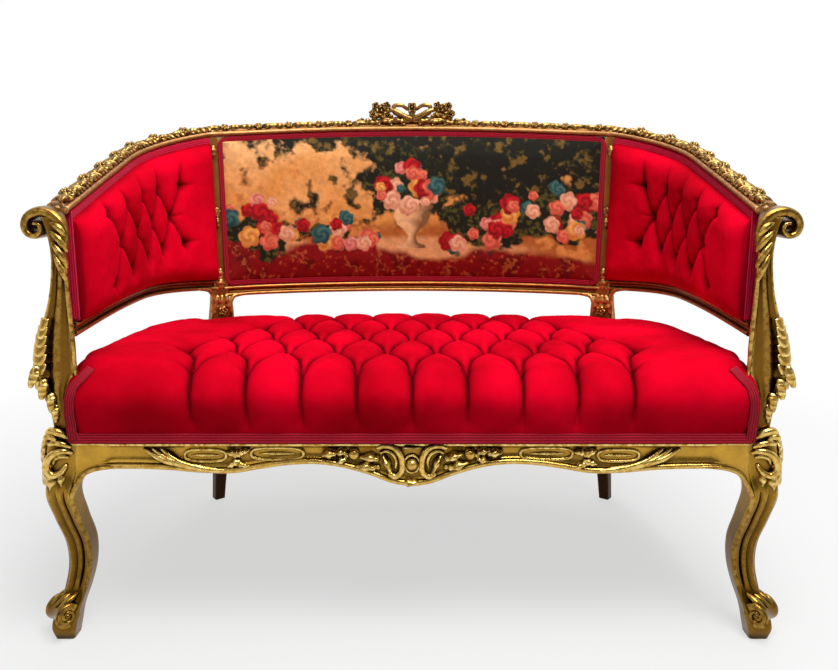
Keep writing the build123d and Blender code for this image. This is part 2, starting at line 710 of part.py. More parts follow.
def apron_sprays():
    """Leaves and buds along the front rail on either side of the cartouche."""
    start = CARTOUCHE_WIDTH * 0.62
    middle = RAIL_TOP - (RAIL_TOP - RAIL_BOTTOM) * 0.32
    sprays = []
    for side in (1, -1):
        turn = 90 - side * 90
        for distance, length, width in ((start, 90.0, 20.0), (LEG_INNER * 0.62, 120.0, 18.0)):
            shape = Rot(0, 0, turn) * leaf(length, width)
            place = apron_plane(side * distance, middle)
            sprays.append(extrude(place * shape, CARVING_RELIEF, dir=(0, -1, 0)))
        bud = apron_plane(side * (start + 112.0), middle) * Circle(9.0)
        sprays.append(extrude(bud, CARVING_RELIEF, dir=(0, -1, 0)))
    return sprays


def knee_acanthus(leg):
    """Leaf that laps the front of the right knee, with a flower at its head."""
    shape = Rot(0, 0, -90) * leaf(LEG_TOP - RAIL_BOTTOM * 0.78, LEG_BLOCK * 0.62)
    shape += Pos(0, -LEG_BLOCK * 0.25) * Circle(LEG_BLOCK * 0.24)
    front = LEG_FRONT - CARVING_RELIEF
    place = Plane(origin=(LEG_X, front, LEG_TOP), x_dir=(1, 0, 0), z_dir=(0, -1, 0))
    return extrude(place * shape, CARVING_RELIEF + CARVING_SINK, dir=(0, 1, 0)) - leg


SCALE_SINK = 0.3
POST_SCALES = [(0.58, 0.0306), (0.53, 0.0361), (0.47, 0.0389), (0.41, 0.0417), (0.35, 0.0417),
               (0.29, 0.0361), (0.23, 0.0306)]


def post_acanthus(post):
    """Overlapping scales of a husk down the outer side of the right arm post."""
    husk = None
    rise = SCROLL_HEIGHT - LEG_TOP
    for share, radius_share in POST_SCALES:
        height = LEG_TOP + rise * share
        radius = rise * radius_share
        lower = max(station for station in ARM_STATIONS if station[0] <= share)
        upper = min(station for station in ARM_STATIONS if station[0] > share)
        blend = (share - lower[0]) / (upper[0] - lower[0])
        outer = lower[1] + (upper[1] - lower[1]) * blend
        middle = LEG_Y + (ARM_BACK - ARM_FRONT) / 2
        scale = Pos(LEG_X + outer - radius * SCALE_SINK, middle, height) * Sphere(radius)
        husk = scale if husk is None else husk + scale
    return husk - post


def stile_carvings(post):
    """Flowers on the front of the right stile, above the seat and at half height."""
    solids = []
    for height, radius in ((SEAT_LEVEL + LOWER_RAIL_RISE, 12.0), ((STILE_TOP + LOWER_BACK_HEIGHT) / 2, 9.0)):
        x, y, turn = plan_point(STILE_RUN, lean(0, height) - STILE_DEPTH / 2 - CARVING_RELIEF)
        place = Plane(origin=(x, y, height), z_dir=(math.sin(turn), math.cos(turn), 0))
        disc = place * Pos(0, 0, CARVING_RELIEF) * Cylinder(radius, 2 * CARVING_RELIEF)
        solids.append(disc - post)
    return solids


# Show-wood frame, with the right-hand piece of each pair
frame = {
    "front_leg": front_leg(),
    "arm_post": arm_post(),
    "back_post": back_post(),
    "front_rail": front_rail(),
}
frame["crest_rail"] = top_rail(-STILE_RUN, STILE_RUN, 13)
frame["arm_rail"] = top_rail(STILE_RUN, LEG_RUN - ARM_BACK / 2, 13) - frame["arm_post"]
frame["back_post"] = frame["back_post"] - frame["arm_rail"] - frame["crest_rail"]
left_stile, right_stile = both_sides(frame["back_post"])
side_strip = plan_strip(STILE_RUN, LEG_RUN, -SIDE_RAIL_IN, SIDE_RAIL_OUT, RAIL_BOTTOM, RAIL_TOP)
frame["side_rail"] = side_strip - frame["front_leg"] - right_stile
back_strip = plan_strip(-STILE_RUN, STILE_RUN, -SIDE_RAIL_IN, SIDE_RAIL_OUT, RAIL_BOTTOM, RAIL_TOP)
frame["back_rail"] = back_strip - left_stile - right_stile
cross_length = -SIDE_RAIL_IN - RAIL_BACK
cross_place = Pos(0, RAIL_BACK + cross_length / 2, (BLOCK_BOTTOM + BLOCK_TOP) / 2)
cross_bar = cross_place * Box(CROSS_RAIL_WIDTH, cross_length, BLOCK_HEIGHT)
frame["seat_cross_rail"] = cross_bar - frame["back_rail"]
lower_end = STILE_RUN - STILE_WIDTH / 4
frame["lower_back_rail"] = lower_rail(-lower_end, lower_end, 13) - left_stile - right_stile
wing_rail = lower_rail(STILE_RUN + STILE_WIDTH / 4, LEG_RUN - ARM_BACK / 2, 13)
frame["lower_wing_rail"] = wing_rail - frame["arm_post"] - right_stile

# Corner blocks inside the seat frame
leg_back = LEG_Y + LEG_BLOCK / 2
reach_run = LEG_RUN - LEG_BLOCK / 2 - FRONT_BLOCK_REACH
front_chord = [(LEG_INNER - FRONT_BLOCK_REACH, RAIL_BACK), plan_point(reach_run, -SIDE_RAIL_IN)[:2]]
front_outline = Polyline(front_chord[0], (LEG_INNER, RAIL_BACK), (LEG_INNER, leg_back), (LEG_X, leg_back),
                         front_chord[1], close=True)
front_solid = Pos(0, 0, BLOCK_BOTTOM) * extrude(make_face(front_outline), BLOCK_HEIGHT)
frame["front_block"] = front_solid - frame["side_rail"]
back_runs = (STILE_RUN - BACK_BLOCK_RUN, STILE_RUN + BACK_BLOCK_RUN)
back_chord = [plan_point(run, -SIDE_RAIL_IN)[:2] for run in back_runs]
back_outline = plan_edges(*back_runs, -SIDE_RAIL_IN) + [Line(*back_chord)]
back_solid = Pos(0, 0, BLOCK_BOTTOM) * extrude(make_face(back_outline), BLOCK_HEIGHT)
frame["back_block"] = back_solid - right_stile

MIDDLE_PIECES = ("front_rail", "back_rail", "seat_cross_rail", "crest_rail", "lower_back_rail")


def bore(hole, names):
    """Cut a hole in the named pieces, and its mirror image where a piece lies across the middle."""
    for name in names:
        frame[name] = frame[name] - hole
        if name in MIDDLE_PIECES:
            frame[name] = frame[name] - mirror(hole, about=Plane.YZ)


# Dowels of the right-hand joints, two in each seat-rail joint and one in each of the others
pins = []


def join(point, direction, *names):
    """Dowel two pieces together at a point of their joint."""
    pin, hole = dowel(point, direction)
    pins.append(pin)
    bore(hole, names)


rail_quarter = (RAIL_TOP - RAIL_BOTTOM) / 4
for height in (RAIL_BOTTOM + rail_quarter, RAIL_TOP - rail_quarter):
    join((LEG_INNER, (RAIL_FRONT + RAIL_BACK) / 2, height), (1, 0, 0), "front_rail", "front_leg")
    leg_side = plan_plane(LEG_RUN - LEG_BLOCK / 2, POST_CENTRE, height)
    join(leg_side.origin, leg_side.x_dir, "side_rail", "front_leg")
    post_side = plan_plane(STILE_RUN, POST_CENTRE, height)
    join(post_side.origin + post_side.x_dir * (POST_WIDTH / 2), post_side.x_dir, "side_rail", "back_post")
    join(post_side.origin - post_side.x_dir * (POST_WIDTH / 2), post_side.x_dir, "back_rail", "back_post")
join((LEG_X, LEG_Y, LEG_TOP), (0, 0, 1), "front_leg", "arm_post")
lower_half = LOWER_RAIL_RISE / 2
stile_back = plan_plane(STILE_RUN, lean(0, LOWER_BACK_HEIGHT), LOWER_BACK_HEIGHT + lower_half)
stile_half = stile_back.x_dir * (STILE_WIDTH / 2)
join(stile_back.origin - stile_half, stile_back.x_dir, "lower_back_rail", "back_post")
stile_wing = plan_plane(STILE_RUN, lean(0, LOWER_WING_HEIGHT), LOWER_WING_HEIGHT + lower_half)
join(stile_wing.origin + stile_half, stile_wing.x_dir, "lower_wing_rail", "back_post")
ARM_RUN = LEG_RUN - ARM_BACK
wing_height = lower_underside(ARM_RUN) + lower_half
wing_end = plan_plane(ARM_RUN, lean(ARM_RUN, wing_height), wing_height)
join(wing_end.origin, wing_end.x_dir, "lower_wing_rail", "arm_post")
pin_level = STILE_TOP + TOP_RAIL_HEIGHT - DOWEL_LENGTH / 2 - DOWEL_DIAMETER / 2
for side, name in ((-1, "crest_rail"), (1, "arm_rail")):
    stile_head = plan_plane(STILE_RUN, lean(0, STILE_TOP), pin_level)
    join(stile_head.origin + stile_head.x_dir * (side * STILE_WIDTH / 4), (0, 0, 1), name, "back_post")
arm_reach = [ARM_RUN - DOWEL_LENGTH / 2, ARM_RUN + DOWEL_LENGTH / 2]
arm_line = [back_point(run, 0, top_underside(run) + TOP_RAIL_HEIGHT / 2) for run in arm_reach]
join((arm_line[0] + arm_line[1]) * 0.5, arm_line[1] - arm_line[0], "arm_rail", "arm_post")
side_pins = list(pins)
for end in (RAIL_BACK, -SIDE_RAIL_IN):
    pin, hole = dowel((0, end, (BLOCK_BOTTOM + BLOCK_TOP) / 2), (0, 1, 0))
    pins.append(pin)
    bore(hole, ("seat_cross_rail", "front_rail" if end == RAIL_BACK else "back_rail"))

# Screws through the corner blocks into the leg blocks and the back posts
screws = []
SCREW_TARGETS = (
    (front_chord, (LEG_INNER, leg_back), ("front_block", "front_leg", "side_rail")),
    (back_chord, plan_point(STILE_RUN, POST_CENTRE - POST_DEPTH / 2)[:2], ("back_block", "back_post")),
)
for (first, last), target, names in SCREW_TARGETS:
    chord = Vector(last[0] - first[0], last[1] - first[1], 0)
    inward = Vector(0, 0, 1).cross(chord).normalized()
    middle = Vector((first[0] + last[0]) / 2, (first[1] + last[1]) / 2, 0)
    across = (Vector(*target, 0) - middle).dot(inward)
    inward = inward * math.copysign(1.0, across)
    height = BLOCK_BOTTOM + BLOCK_HEIGHT / 4
    screw, hole = corner_screw(middle + Vector(0, 0, height), inward, abs(across) + SCREW_BITE)
    screws.append(screw)
    bore(hole, names)

# Seat upholstery
deck_edges = plan_edges(-LEG_RUN, LEG_RUN, 0.0)
deck_outline = make_face(deck_edges + [Line(plan_point(LEG_RUN)[:2], plan_point(-LEG_RUN)[:2])])
deck_cuts = seat_notches(NOTCH_GAP)


def deck(bottom, thickness):
    """Level sheet over the seat rails, cut round the posts."""
    sheet = Pos(0, 0, bottom) * extrude(deck_outline, thickness)
    for cut in deck_cuts:
        sheet = sheet - cut
    return sheet


webbing_sheet = deck(RAIL_TOP + SEAT_GAP, WEBBING_THICKNESS)
webbing = []
strip_count = int(LEG_X / WEBBING_PITCH)
for index in range(-strip_count, strip_count + 1):
    strip = Pos(index * WEBBING_PITCH, LEG_Y, RAIL_TOP) * Box(WEBBING_WIDTH, -4 * LEG_Y, LEG_BLOCK)
    webbing += (webbing_sheet & strip).solids()


def seat_foam_slab(gap):
    """Foam slab inside the seat, set in from its edges and from the posts, and grown by a gap."""
    inset = SEAT_EDGE_OUT - SEAT_FOAM_IN + gap
    front_run = LEG_RUN + LEG_Y - SEAT_FRONT - SEAT_FOAM_IN + gap
    ends = [plan_point(run, inset)[:2] for run in (front_run, -front_run)]
    outline = make_face(plan_edges(-front_run, front_run, inset) + [Line(*ends)])
    slab = Pos(0, 0, SEAT_BOTTOM - gap) * extrude(outline, SEAT_FOAM_HEIGHT + 2 * gap)
    for cut in seat_notches(SEAT_FOAM_IN - gap):
        slab = slab - cut
    return slab


seat_cover = seat_block() - seat_foam_slab(SEAT_GAP)
for cut in seat_notches(NOTCH_GAP):
    seat_cover = seat_cover - cut
seat_foam = seat_foam_slab(0.0)

# Gimp along the front of the seat, up its front corners, along its sides and round its back
gimp_low = SEAT_BOTTOM + SEAT_GAP
gimp_middle = gimp_low + GIMP_WIDTH / 2
notch_inner = LEG_X - SEAT_POST_INNER - NOTCH_GAP
gimp_front = SEAT_FRONT - SEAT_GAP - GIMP_THICKNESS / 2
seat_gimp = [Pos(0, gimp_front, gimp_middle) * Box(2 * notch_inner, GIMP_THICKNESS, GIMP_WIDTH)]
side_back = seat_back_edge(SEAT_HALF)
side_front = LEG_Y + ARM_BACK + NOTCH_GAP
side_middle = Pos(SEAT_HALF + SEAT_GAP + GIMP_THICKNESS / 2, (side_front + side_back) / 2, gimp_middle)
seat_gimp += both_sides(side_middle * Box(GIMP_THICKNESS, side_back - side_front, GIMP_WIDTH))
edge_out = SEAT_EDGE_OUT + SEAT_GAP
back_turn_end = math.acos((side_back - CORNER_Y) / (CORNER_RADIUS + SEAT_EDGE_OUT))
gimp_end = BACK_RUN + CORNER_RADIUS * (back_turn_end - BACK_TURN)
band = plan_strip(-gimp_end, gimp_end, edge_out, edge_out + GIMP_THICKNESS, gimp_low, gimp_low + GIMP_WIDTH)
for cut in seat_notches(NOTCH_GAP)[2:]:
    band = band - cut
seat_gimp += band.solids()

# Dust cover under the seat, just inside the rails
dust_edges = plan_edges(-LEG_RUN, LEG_RUN, -SIDE_RAIL_IN - SEAT_GAP)
dust_ends = [plan_point(run, -SIDE_RAIL_IN - SEAT_GAP)[:2] for run in (LEG_RUN, -LEG_RUN)]
dust_sheet = extrude(make_face(dust_edges + [Line(*dust_ends)]), DUST_COVER_THICKNESS)
dust_cover = Pos(0, 0, BLOCK_BOTTOM - SEAT_GAP - DUST_COVER_THICKNESS) * dust_sheet
front_cut = RAIL_BACK + SEAT_GAP - LEG_FRONT + LEG_BLOCK
front_room = Pos(0, RAIL_BACK + SEAT_GAP - front_cut / 2, BLOCK_BOTTOM)
dust_cover = dust_cover - front_room * Box(4 * LEG_X, front_cut, LEG_BLOCK)
leg_room = LEG_BLOCK + 2 * SEAT_GAP
post_room = plan_plane(STILE_RUN, POST_CENTRE, BLOCK_BOTTOM)
post_room = post_room * Box(POST_WIDTH + 2 * SEAT_GAP, POST_DEPTH + 2 * SEAT_GAP, LEG_BLOCK)
leg_cut = Pos(LEG_X, LEG_Y, BLOCK_BOTTOM) * Box(leg_room, leg_room, LEG_BLOCK)
for cut in both_sides(leg_cut) + both_sides(post_room):
    dust_cover = dust_cover - cut

# Back upholstery
pad_back = PAD_BACK_OUT - SEAT_GAP
wing_cover = wing_block(pad_back) - foam_slab(WING_START, WING_END, SEAT_GAP)
wing_foam = foam_slab(WING_START, WING_END, 0.0)
back_cover = centre_block(pad_back) - foam_slab(-BACK_END, BACK_END, SEAT_GAP)
back_foam = foam_slab(-BACK_END, BACK_END, 0.0)
wing_sheet = back_sheet(WING_START, WING_END, PAD_BACK_OUT, BACK_WEBBING_THICKNESS)
centre_sheet = back_sheet(-BACK_END, BACK_END, PAD_BACK_OUT, BACK_WEBBING_THICKNESS)
outside_wing = back_sheet(WING_START, WING_END, OUTSIDE_OUT, OUTSIDE_THICKNESS)
outside_back = back_sheet(-BACK_END, BACK_END, OUTSIDE_OUT, OUTSIDE_THICKNESS)
wing_gimp_runs = [run for run, column in wing_stations()]
wing_gimp = [
    gimp_band(wing_gimp_runs[:-1], lambda run: pad_top(run) - GIMP_WIDTH, pad_top),
    gimp_band([WING_END - GIMP_WIDTH, WING_END], pad_bottom, pad_top),
]
back_gimp_runs = [run for run, crown in centre_stations()][1:-1]
back_gimp = [
    gimp_band(back_gimp_runs, lambda run: pad_top(run) - GIMP_WIDTH, pad_top),
    gimp_band(back_gimp_runs, pad_bottom, lambda run: pad_bottom(run) + GIMP_WIDTH),
]
back_gimp += both_sides(gimp_band([BACK_END - GIMP_WIDTH, BACK_END], pad_bottom, pad_top))

# Carving laid on the frame
ornament = crest_ornament() - frame["crest_rail"]
ornament_run = CREST_ORNAMENT_HALF + SEAT_GAP
crest_garland = garland(ornament_run, STILE_RUN - SEAT_GAP)
arm_garland = garland(STILE_RUN + SEAT_GAP, LEG_RUN - ARM_BACK - SCROLL_RADIUS / 2)
knee = knee_acanthus(frame["front_leg"])
husk = post_acanthus(frame["arm_post"])
flowers = stile_carvings(frame["back_post"])


def add_pair(name, right):
    """File a right-hand piece and its mirror image under the name of each side."""
    solids = right if isinstance(right, list) else [right]
    pairs = [both_sides(solid) for solid in solids]
    for side, name_end in enumerate(("left", "right")):
        parts[f"{name}_{name_end}"] = [pair[side] for pair in pairs]


for name in ("front_leg", "arm_post", "back_post", "side_rail", "arm_rail", "lower_wing_rail"):
    add_pair(name, frame[name])
for name in MIDDLE_PIECES:
    parts[name] = [frame[name]]
parts["front_corner_blocks"] = list(both_sides(frame["front_block"]))
parts["back_corner_blocks"] = list(both_sides(frame["back_block"]))
parts["corner_block_screws"] = [half for screw in screws for half in both_sides(screw)]
parts["frame_dowels"] = pins + [mirror(pin, about=Plane.YZ) for pin in side_pins]
parts["crest_ornament"] = [ornament]
add_pair("crest_garland", crest_garland)
add_pair("arm_garland", arm_garland)
parts["apron_cartouche"] = apron_cartouche()
parts["apron_sprays"] = apron_sprays()
add_pair("knee_acanthus", knee)
add_pair("post_acanthus", husk)
parts["stile_carvings"] = [half for flower in flowers for half in both_sides(flower)]
parts["seat_webbing"] = webbing
parts["seat_hessian"] = [deck(RAIL_TOP + WEBBING_THICKNESS + 2 * SEAT_GAP, HESSIAN_THICKNESS)]
parts["seat_foam"] = [seat_foam]
parts["seat_cover"] = [seat_cover]
parts["seat_buttons"] = seat_buttons()
parts["seat_gimp"] = seat_gimp
parts["dust_cover"] = [dust_cover]
add_pair("wing_foam", wing_foam)
add_pair("wing_cover", wing_cover)
add_pair("wing_buttons", wing_buttons())
add_pair("wing_gimp", wing_gimp)
add_pair("wing_webbing", wing_sheet)
add_pair("outside_wing_cover", outside_wing)
parts["back_foam"] = [back_foam]
parts["back_cover"] = [back_cover]
parts["back_gimp"] = back_gimp
parts["back_webbing"] = [centre_sheet]
parts["outside_back_cover"] = [outside_back]

# The finished settee stands on the floor with the origin under the middle of its box
ends = [solid.bounding_box() for solids in parts.values() for solid in solids]
middle_y = (min(end.min.Y for end in ends) + max(end.max.Y for end in ends)) / 2
os.makedirs("parts", exist_ok=True)
for name, solids in parts.items():
    placed = [Pos(0, -middle_y, 0) * solid for solid in solids]
    shape = placed[0] if len(placed) == 1 else Compound(children=placed)
    export_step(shape, f"parts/{name}.step")
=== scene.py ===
import math

import bmesh
import bpy
import numpy as np
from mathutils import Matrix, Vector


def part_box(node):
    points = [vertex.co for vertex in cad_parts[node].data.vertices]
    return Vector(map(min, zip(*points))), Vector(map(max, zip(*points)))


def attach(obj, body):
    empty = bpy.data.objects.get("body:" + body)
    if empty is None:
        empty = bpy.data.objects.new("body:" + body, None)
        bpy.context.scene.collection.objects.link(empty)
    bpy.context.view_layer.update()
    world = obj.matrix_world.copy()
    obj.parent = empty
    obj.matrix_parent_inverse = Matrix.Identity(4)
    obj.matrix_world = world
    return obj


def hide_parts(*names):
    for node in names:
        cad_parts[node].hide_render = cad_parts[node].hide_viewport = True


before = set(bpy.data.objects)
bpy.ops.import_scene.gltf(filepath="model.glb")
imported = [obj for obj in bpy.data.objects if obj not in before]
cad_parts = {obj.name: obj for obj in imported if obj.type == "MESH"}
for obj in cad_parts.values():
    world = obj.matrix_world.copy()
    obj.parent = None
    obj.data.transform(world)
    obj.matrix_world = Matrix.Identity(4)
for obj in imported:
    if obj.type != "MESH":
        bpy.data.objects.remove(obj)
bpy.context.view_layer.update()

# Sizes of the settee in millimetres, as the model has them
BACK_RADIUS = 1300.0
BACK_TURN = math.radians(16.0)
CORNER_RADIUS = 272.0
SIDE_TURN = math.radians(87.0)
SIDE_LENGTH = 309.0
STILE_RUN = 458.0
RAIL_BOTTOM = 285.0
RAIL_TOP = 340.0
SEAT_LEVEL = 437.0
LOWER_BACK_HEIGHT = 492.0
LOWER_WING_HEIGHT = 508.0
LOWER_WING_ARCH = 14.0
LOWER_RAIL_RISE = 24.0
STILE_TOP = 860.0
CREST_RISE = 18.0
ARM_DROP = 148.0
TOP_RAIL_HEIGHT = 18.0
BACK_LEAN = 0.0963
ARM_LEAN_SHARE = 0.4
LEG_FACE = 27.0
BACK_RUN = BACK_RADIUS * BACK_TURN
CORNER_RUN = BACK_RUN + CORNER_RADIUS * (SIDE_TURN - BACK_TURN)
LEG_RUN = CORNER_RUN + SIDE_LENGTH
CORNER_X = (BACK_RADIUS - CORNER_RADIUS) * math.sin(BACK_TURN)
CORNER_Y = (BACK_RADIUS - CORNER_RADIUS) * math.cos(BACK_TURN) - BACK_RADIUS
LEG_X = CORNER_X + CORNER_RADIUS * math.sin(SIDE_TURN) + SIDE_LENGTH * math.cos(SIDE_TURN)
LEG_PLAN_Y = CORNER_Y + CORNER_RADIUS * math.cos(SIDE_TURN) - SIDE_LENGTH * math.sin(SIDE_TURN)
ROW_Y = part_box("front_rail")[0].y * 1000.0 - (LEG_PLAN_Y - LEG_FACE)
LEG_Y = LEG_PLAN_Y + ROW_Y
LEG_INNER = LEG_X - 31.0
RAIL_FRONT = LEG_Y - LEG_FACE
SEAT_FRONT = LEG_Y - 36.0
SEAT_HALF = LEG_X - 18.0
SEAT_BOTTOM = 344.5
ARM_FRONT = LEG_Y - LEG_FACE
ARM_BACK = LEG_Y + 21.0

# Ways in space, and the endings of names: 1 is the right side, -1 the left and 0 the middle
ACROSS = np.array([1.0, 0.0, 0.0])
FRONT = np.array([0.0, -1.0, 0.0])
BACKWARD = np.array([0.0, 1.0, 0.0])
UP = np.array([0.0, 0.0, 1.0])
SIDES = {1: "_right", -1: "_left", 0: ""}


# Plan and heights
def plan(run, offset):
    """Plan point at a run along the back from its middle and an offset outwards: an arc of the back's
    radius, then an arc of the corner's radius, then a straight side."""
    run, offset = np.broadcast_arrays(np.asarray(run, float), np.asarray(offset, float))
    reach = np.abs(run)
    on_back = reach <= BACK_RUN
    bend = np.minimum(BACK_TURN + (reach - BACK_RUN) / CORNER_RADIUS, SIDE_TURN)
    turn = np.where(on_back, reach / BACK_RADIUS, bend)
    straight = np.maximum(reach - CORNER_RUN, 0.0)
    radius = np.where(on_back, BACK_RADIUS, CORNER_RADIUS) + offset
    x = np.where(on_back, 0.0, CORNER_X) + radius * np.sin(turn) + straight * np.cos(turn)
    y = np.where(on_back, -BACK_RADIUS, CORNER_Y) + radius * np.cos(turn) - straight * np.sin(turn)
    side = np.where(run < 0, -1.0, 1.0)
    return x * side, y + ROW_Y, turn * side


def forward(run):
    """Share of the way from a stile to the arm post at a run."""
    return np.maximum(0.0, (np.abs(run) - STILE_RUN) / (LEG_RUN - STILE_RUN))


def lean(run, height):
    """How far the back leans outwards at a height, less at the arms than at the back."""
    return BACK_LEAN * (height - SEAT_LEVEL) * (1.0 - (1.0 - ARM_LEAN_SHARE) * forward(run))


def points_of(x, y, z):
    """Points from their x, y and z values, each an array or one value for all."""
    return np.stack(np.broadcast_arrays(x, y, z), axis=-1)


def back_points(run, offset, height):
    """Points on the leaning back at runs, offsets from the leaning line and heights."""
    run, offset, height = np.broadcast_arrays(run, offset, height)
    x, y = plan(run, offset + lean(run, height))[:2]
    return points_of(x, y, height)


def top_underside(run):
    """Height of the underside of the crest rail and of the arms: a low parabola over the back, then a
    fall that grows a little faster than the run."""
    crest = STILE_TOP + CREST_RISE * (1.0 - (run / STILE_RUN) ** 2)
    arm = STILE_TOP - ARM_DROP * forward(run) ** 1.15
    return np.where(np.abs(run) <= STILE_RUN, crest, arm)


def lower_underside(run):
    """Height of the underside of the lower rails: level under the back, half a sine wave under a wing."""
    wing = LOWER_WING_HEIGHT + LOWER_WING_ARCH * np.sin(np.pi * forward(run))
    return np.where(np.abs(run) <= STILE_RUN, LOWER_BACK_HEIGHT, wing)


def directions(run):
    """Unit vectors along the back and outwards from it at a run."""
    turn = plan(run, 0.0)[2]
    return points_of(np.cos(turn), -np.sin(turn), 0.0), points_of(np.sin(turn), np.cos(turn), 0.0)


# Working surfaces as grids of points
def unit(vectors):
    """Vectors brought to length one."""
    vectors = np.asarray(vectors, float)
    return vectors / np.maximum(np.linalg.norm(vectors, axis=-1, keepdims=True), 1e-9)


def smooth_through(stations, values, at):
    """Curve through station values: each span is a cubic whose end slopes come from the neighbours."""
    stations = np.asarray(stations, float)
    values = np.asarray(values, float)
    at = np.asarray(at, float)
    slopes = np.gradient(values, stations)
    span = np.clip(np.searchsorted(stations, at) - 1, 0, len(stations) - 2)
    width = stations[span + 1] - stations[span]
    t = np.clip((at - stations[span]) / width, 0.0, 1.0)
    ends = values[span] * (2 * t**3 - 3 * t**2 + 1) + values[span + 1] * (3 * t**2 - 2 * t**3)
    return ends + width * (slopes[span] * (t**3 - 2 * t**2 + t) + slopes[span + 1] * (t**3 - t**2))


def ease(low, high, value):
    """Smooth step from 0 at low to 1 at high."""
    t = np.clip((value - low) / (high - low), 0.0, 1.0)
    return t * t * (3.0 - 2.0 * t)


def hump(value, centre, width):
    """Bell curve of height 1 round a centre."""
    return np.exp(-(((value - centre) / width) ** 2))


def signed_power(value, power):
    """Power of the size of a value, with the value's sign."""
    return np.sign(value) * np.abs(value) ** power


def circle(count):
    """Even angles once round."""
    return np.linspace(0.0, 2 * np.pi, count, endpoint=False)


def carry(profile, path, side, up):
    """Profile of (side, up) values carried along a path with a side and an up vector at each point."""
    profile = np.asarray(profile, float)
    if profile.ndim == 2:
        profile = profile[None]
    side, up = (np.broadcast_to(way, path.shape)[:, None] for way in (side, up))
    return path[:, None] + profile[..., :1] * side + profile[..., 1:] * up


def tube(path, radius, up, columns=10, wide=1.0, tall=1.0, square=1.0):
    """Ellipse carried along a path, square to it, its radius given at each point. A square below one draws
    the ellipse out towards its corners."""
    path = np.asarray(path, float)
    heading = unit(np.gradient(path, axis=0))
    side = unit(np.cross(heading, np.broadcast_to(np.asarray(up, float), path.shape)))
    angle = circle(columns)
    radius = np.broadcast_to(np.asarray(radius, float), len(path))[:, None]
    tall = np.broadcast_to(np.asarray(tall, float), len(path))[:, None]
    profile = np.stack([wide * radius * signed_power(np.cos(angle), square),
                        tall * radius * signed_power(np.sin(angle), square)], axis=-1)
    return carry(profile, path, side, np.cross(side, heading))


def curve(points, count):
    """Smooth path through a few points, spaced by their distances."""
    points = np.asarray(points, float)
    steps = np.concatenate([[0.0], np.cumsum(np.linalg.norm(np.diff(points, axis=0), axis=1))])
    at = np.linspace(0.0, steps[-1], count)
    return np.stack([smooth_through(steps, points[:, axis], at) for axis in range(3)], axis=-1)


def taper(count, first=0.15, last=0.15, power=0.7):
    """Swelling along a path, from one end value through 1 to the other."""
    t = np.linspace(0.0, 1.0, count)
    ends = first + (last - first) * t
    return ends + (1.0 - ends) * np.sin(np.pi * t) ** power


def lay(points, origin, along, up):
    """Grid drawn in its own x, y and z set down at an origin, with x along one way and z up another."""
    along = unit(along)
    up = np.asarray(up, float)
    up = unit(up - along * np.dot(up, along))
    across = np.cross(up, along)
    return np.asarray(origin) + points[..., :1] * along + points[..., 1:2] * across + points[..., 2:] * up


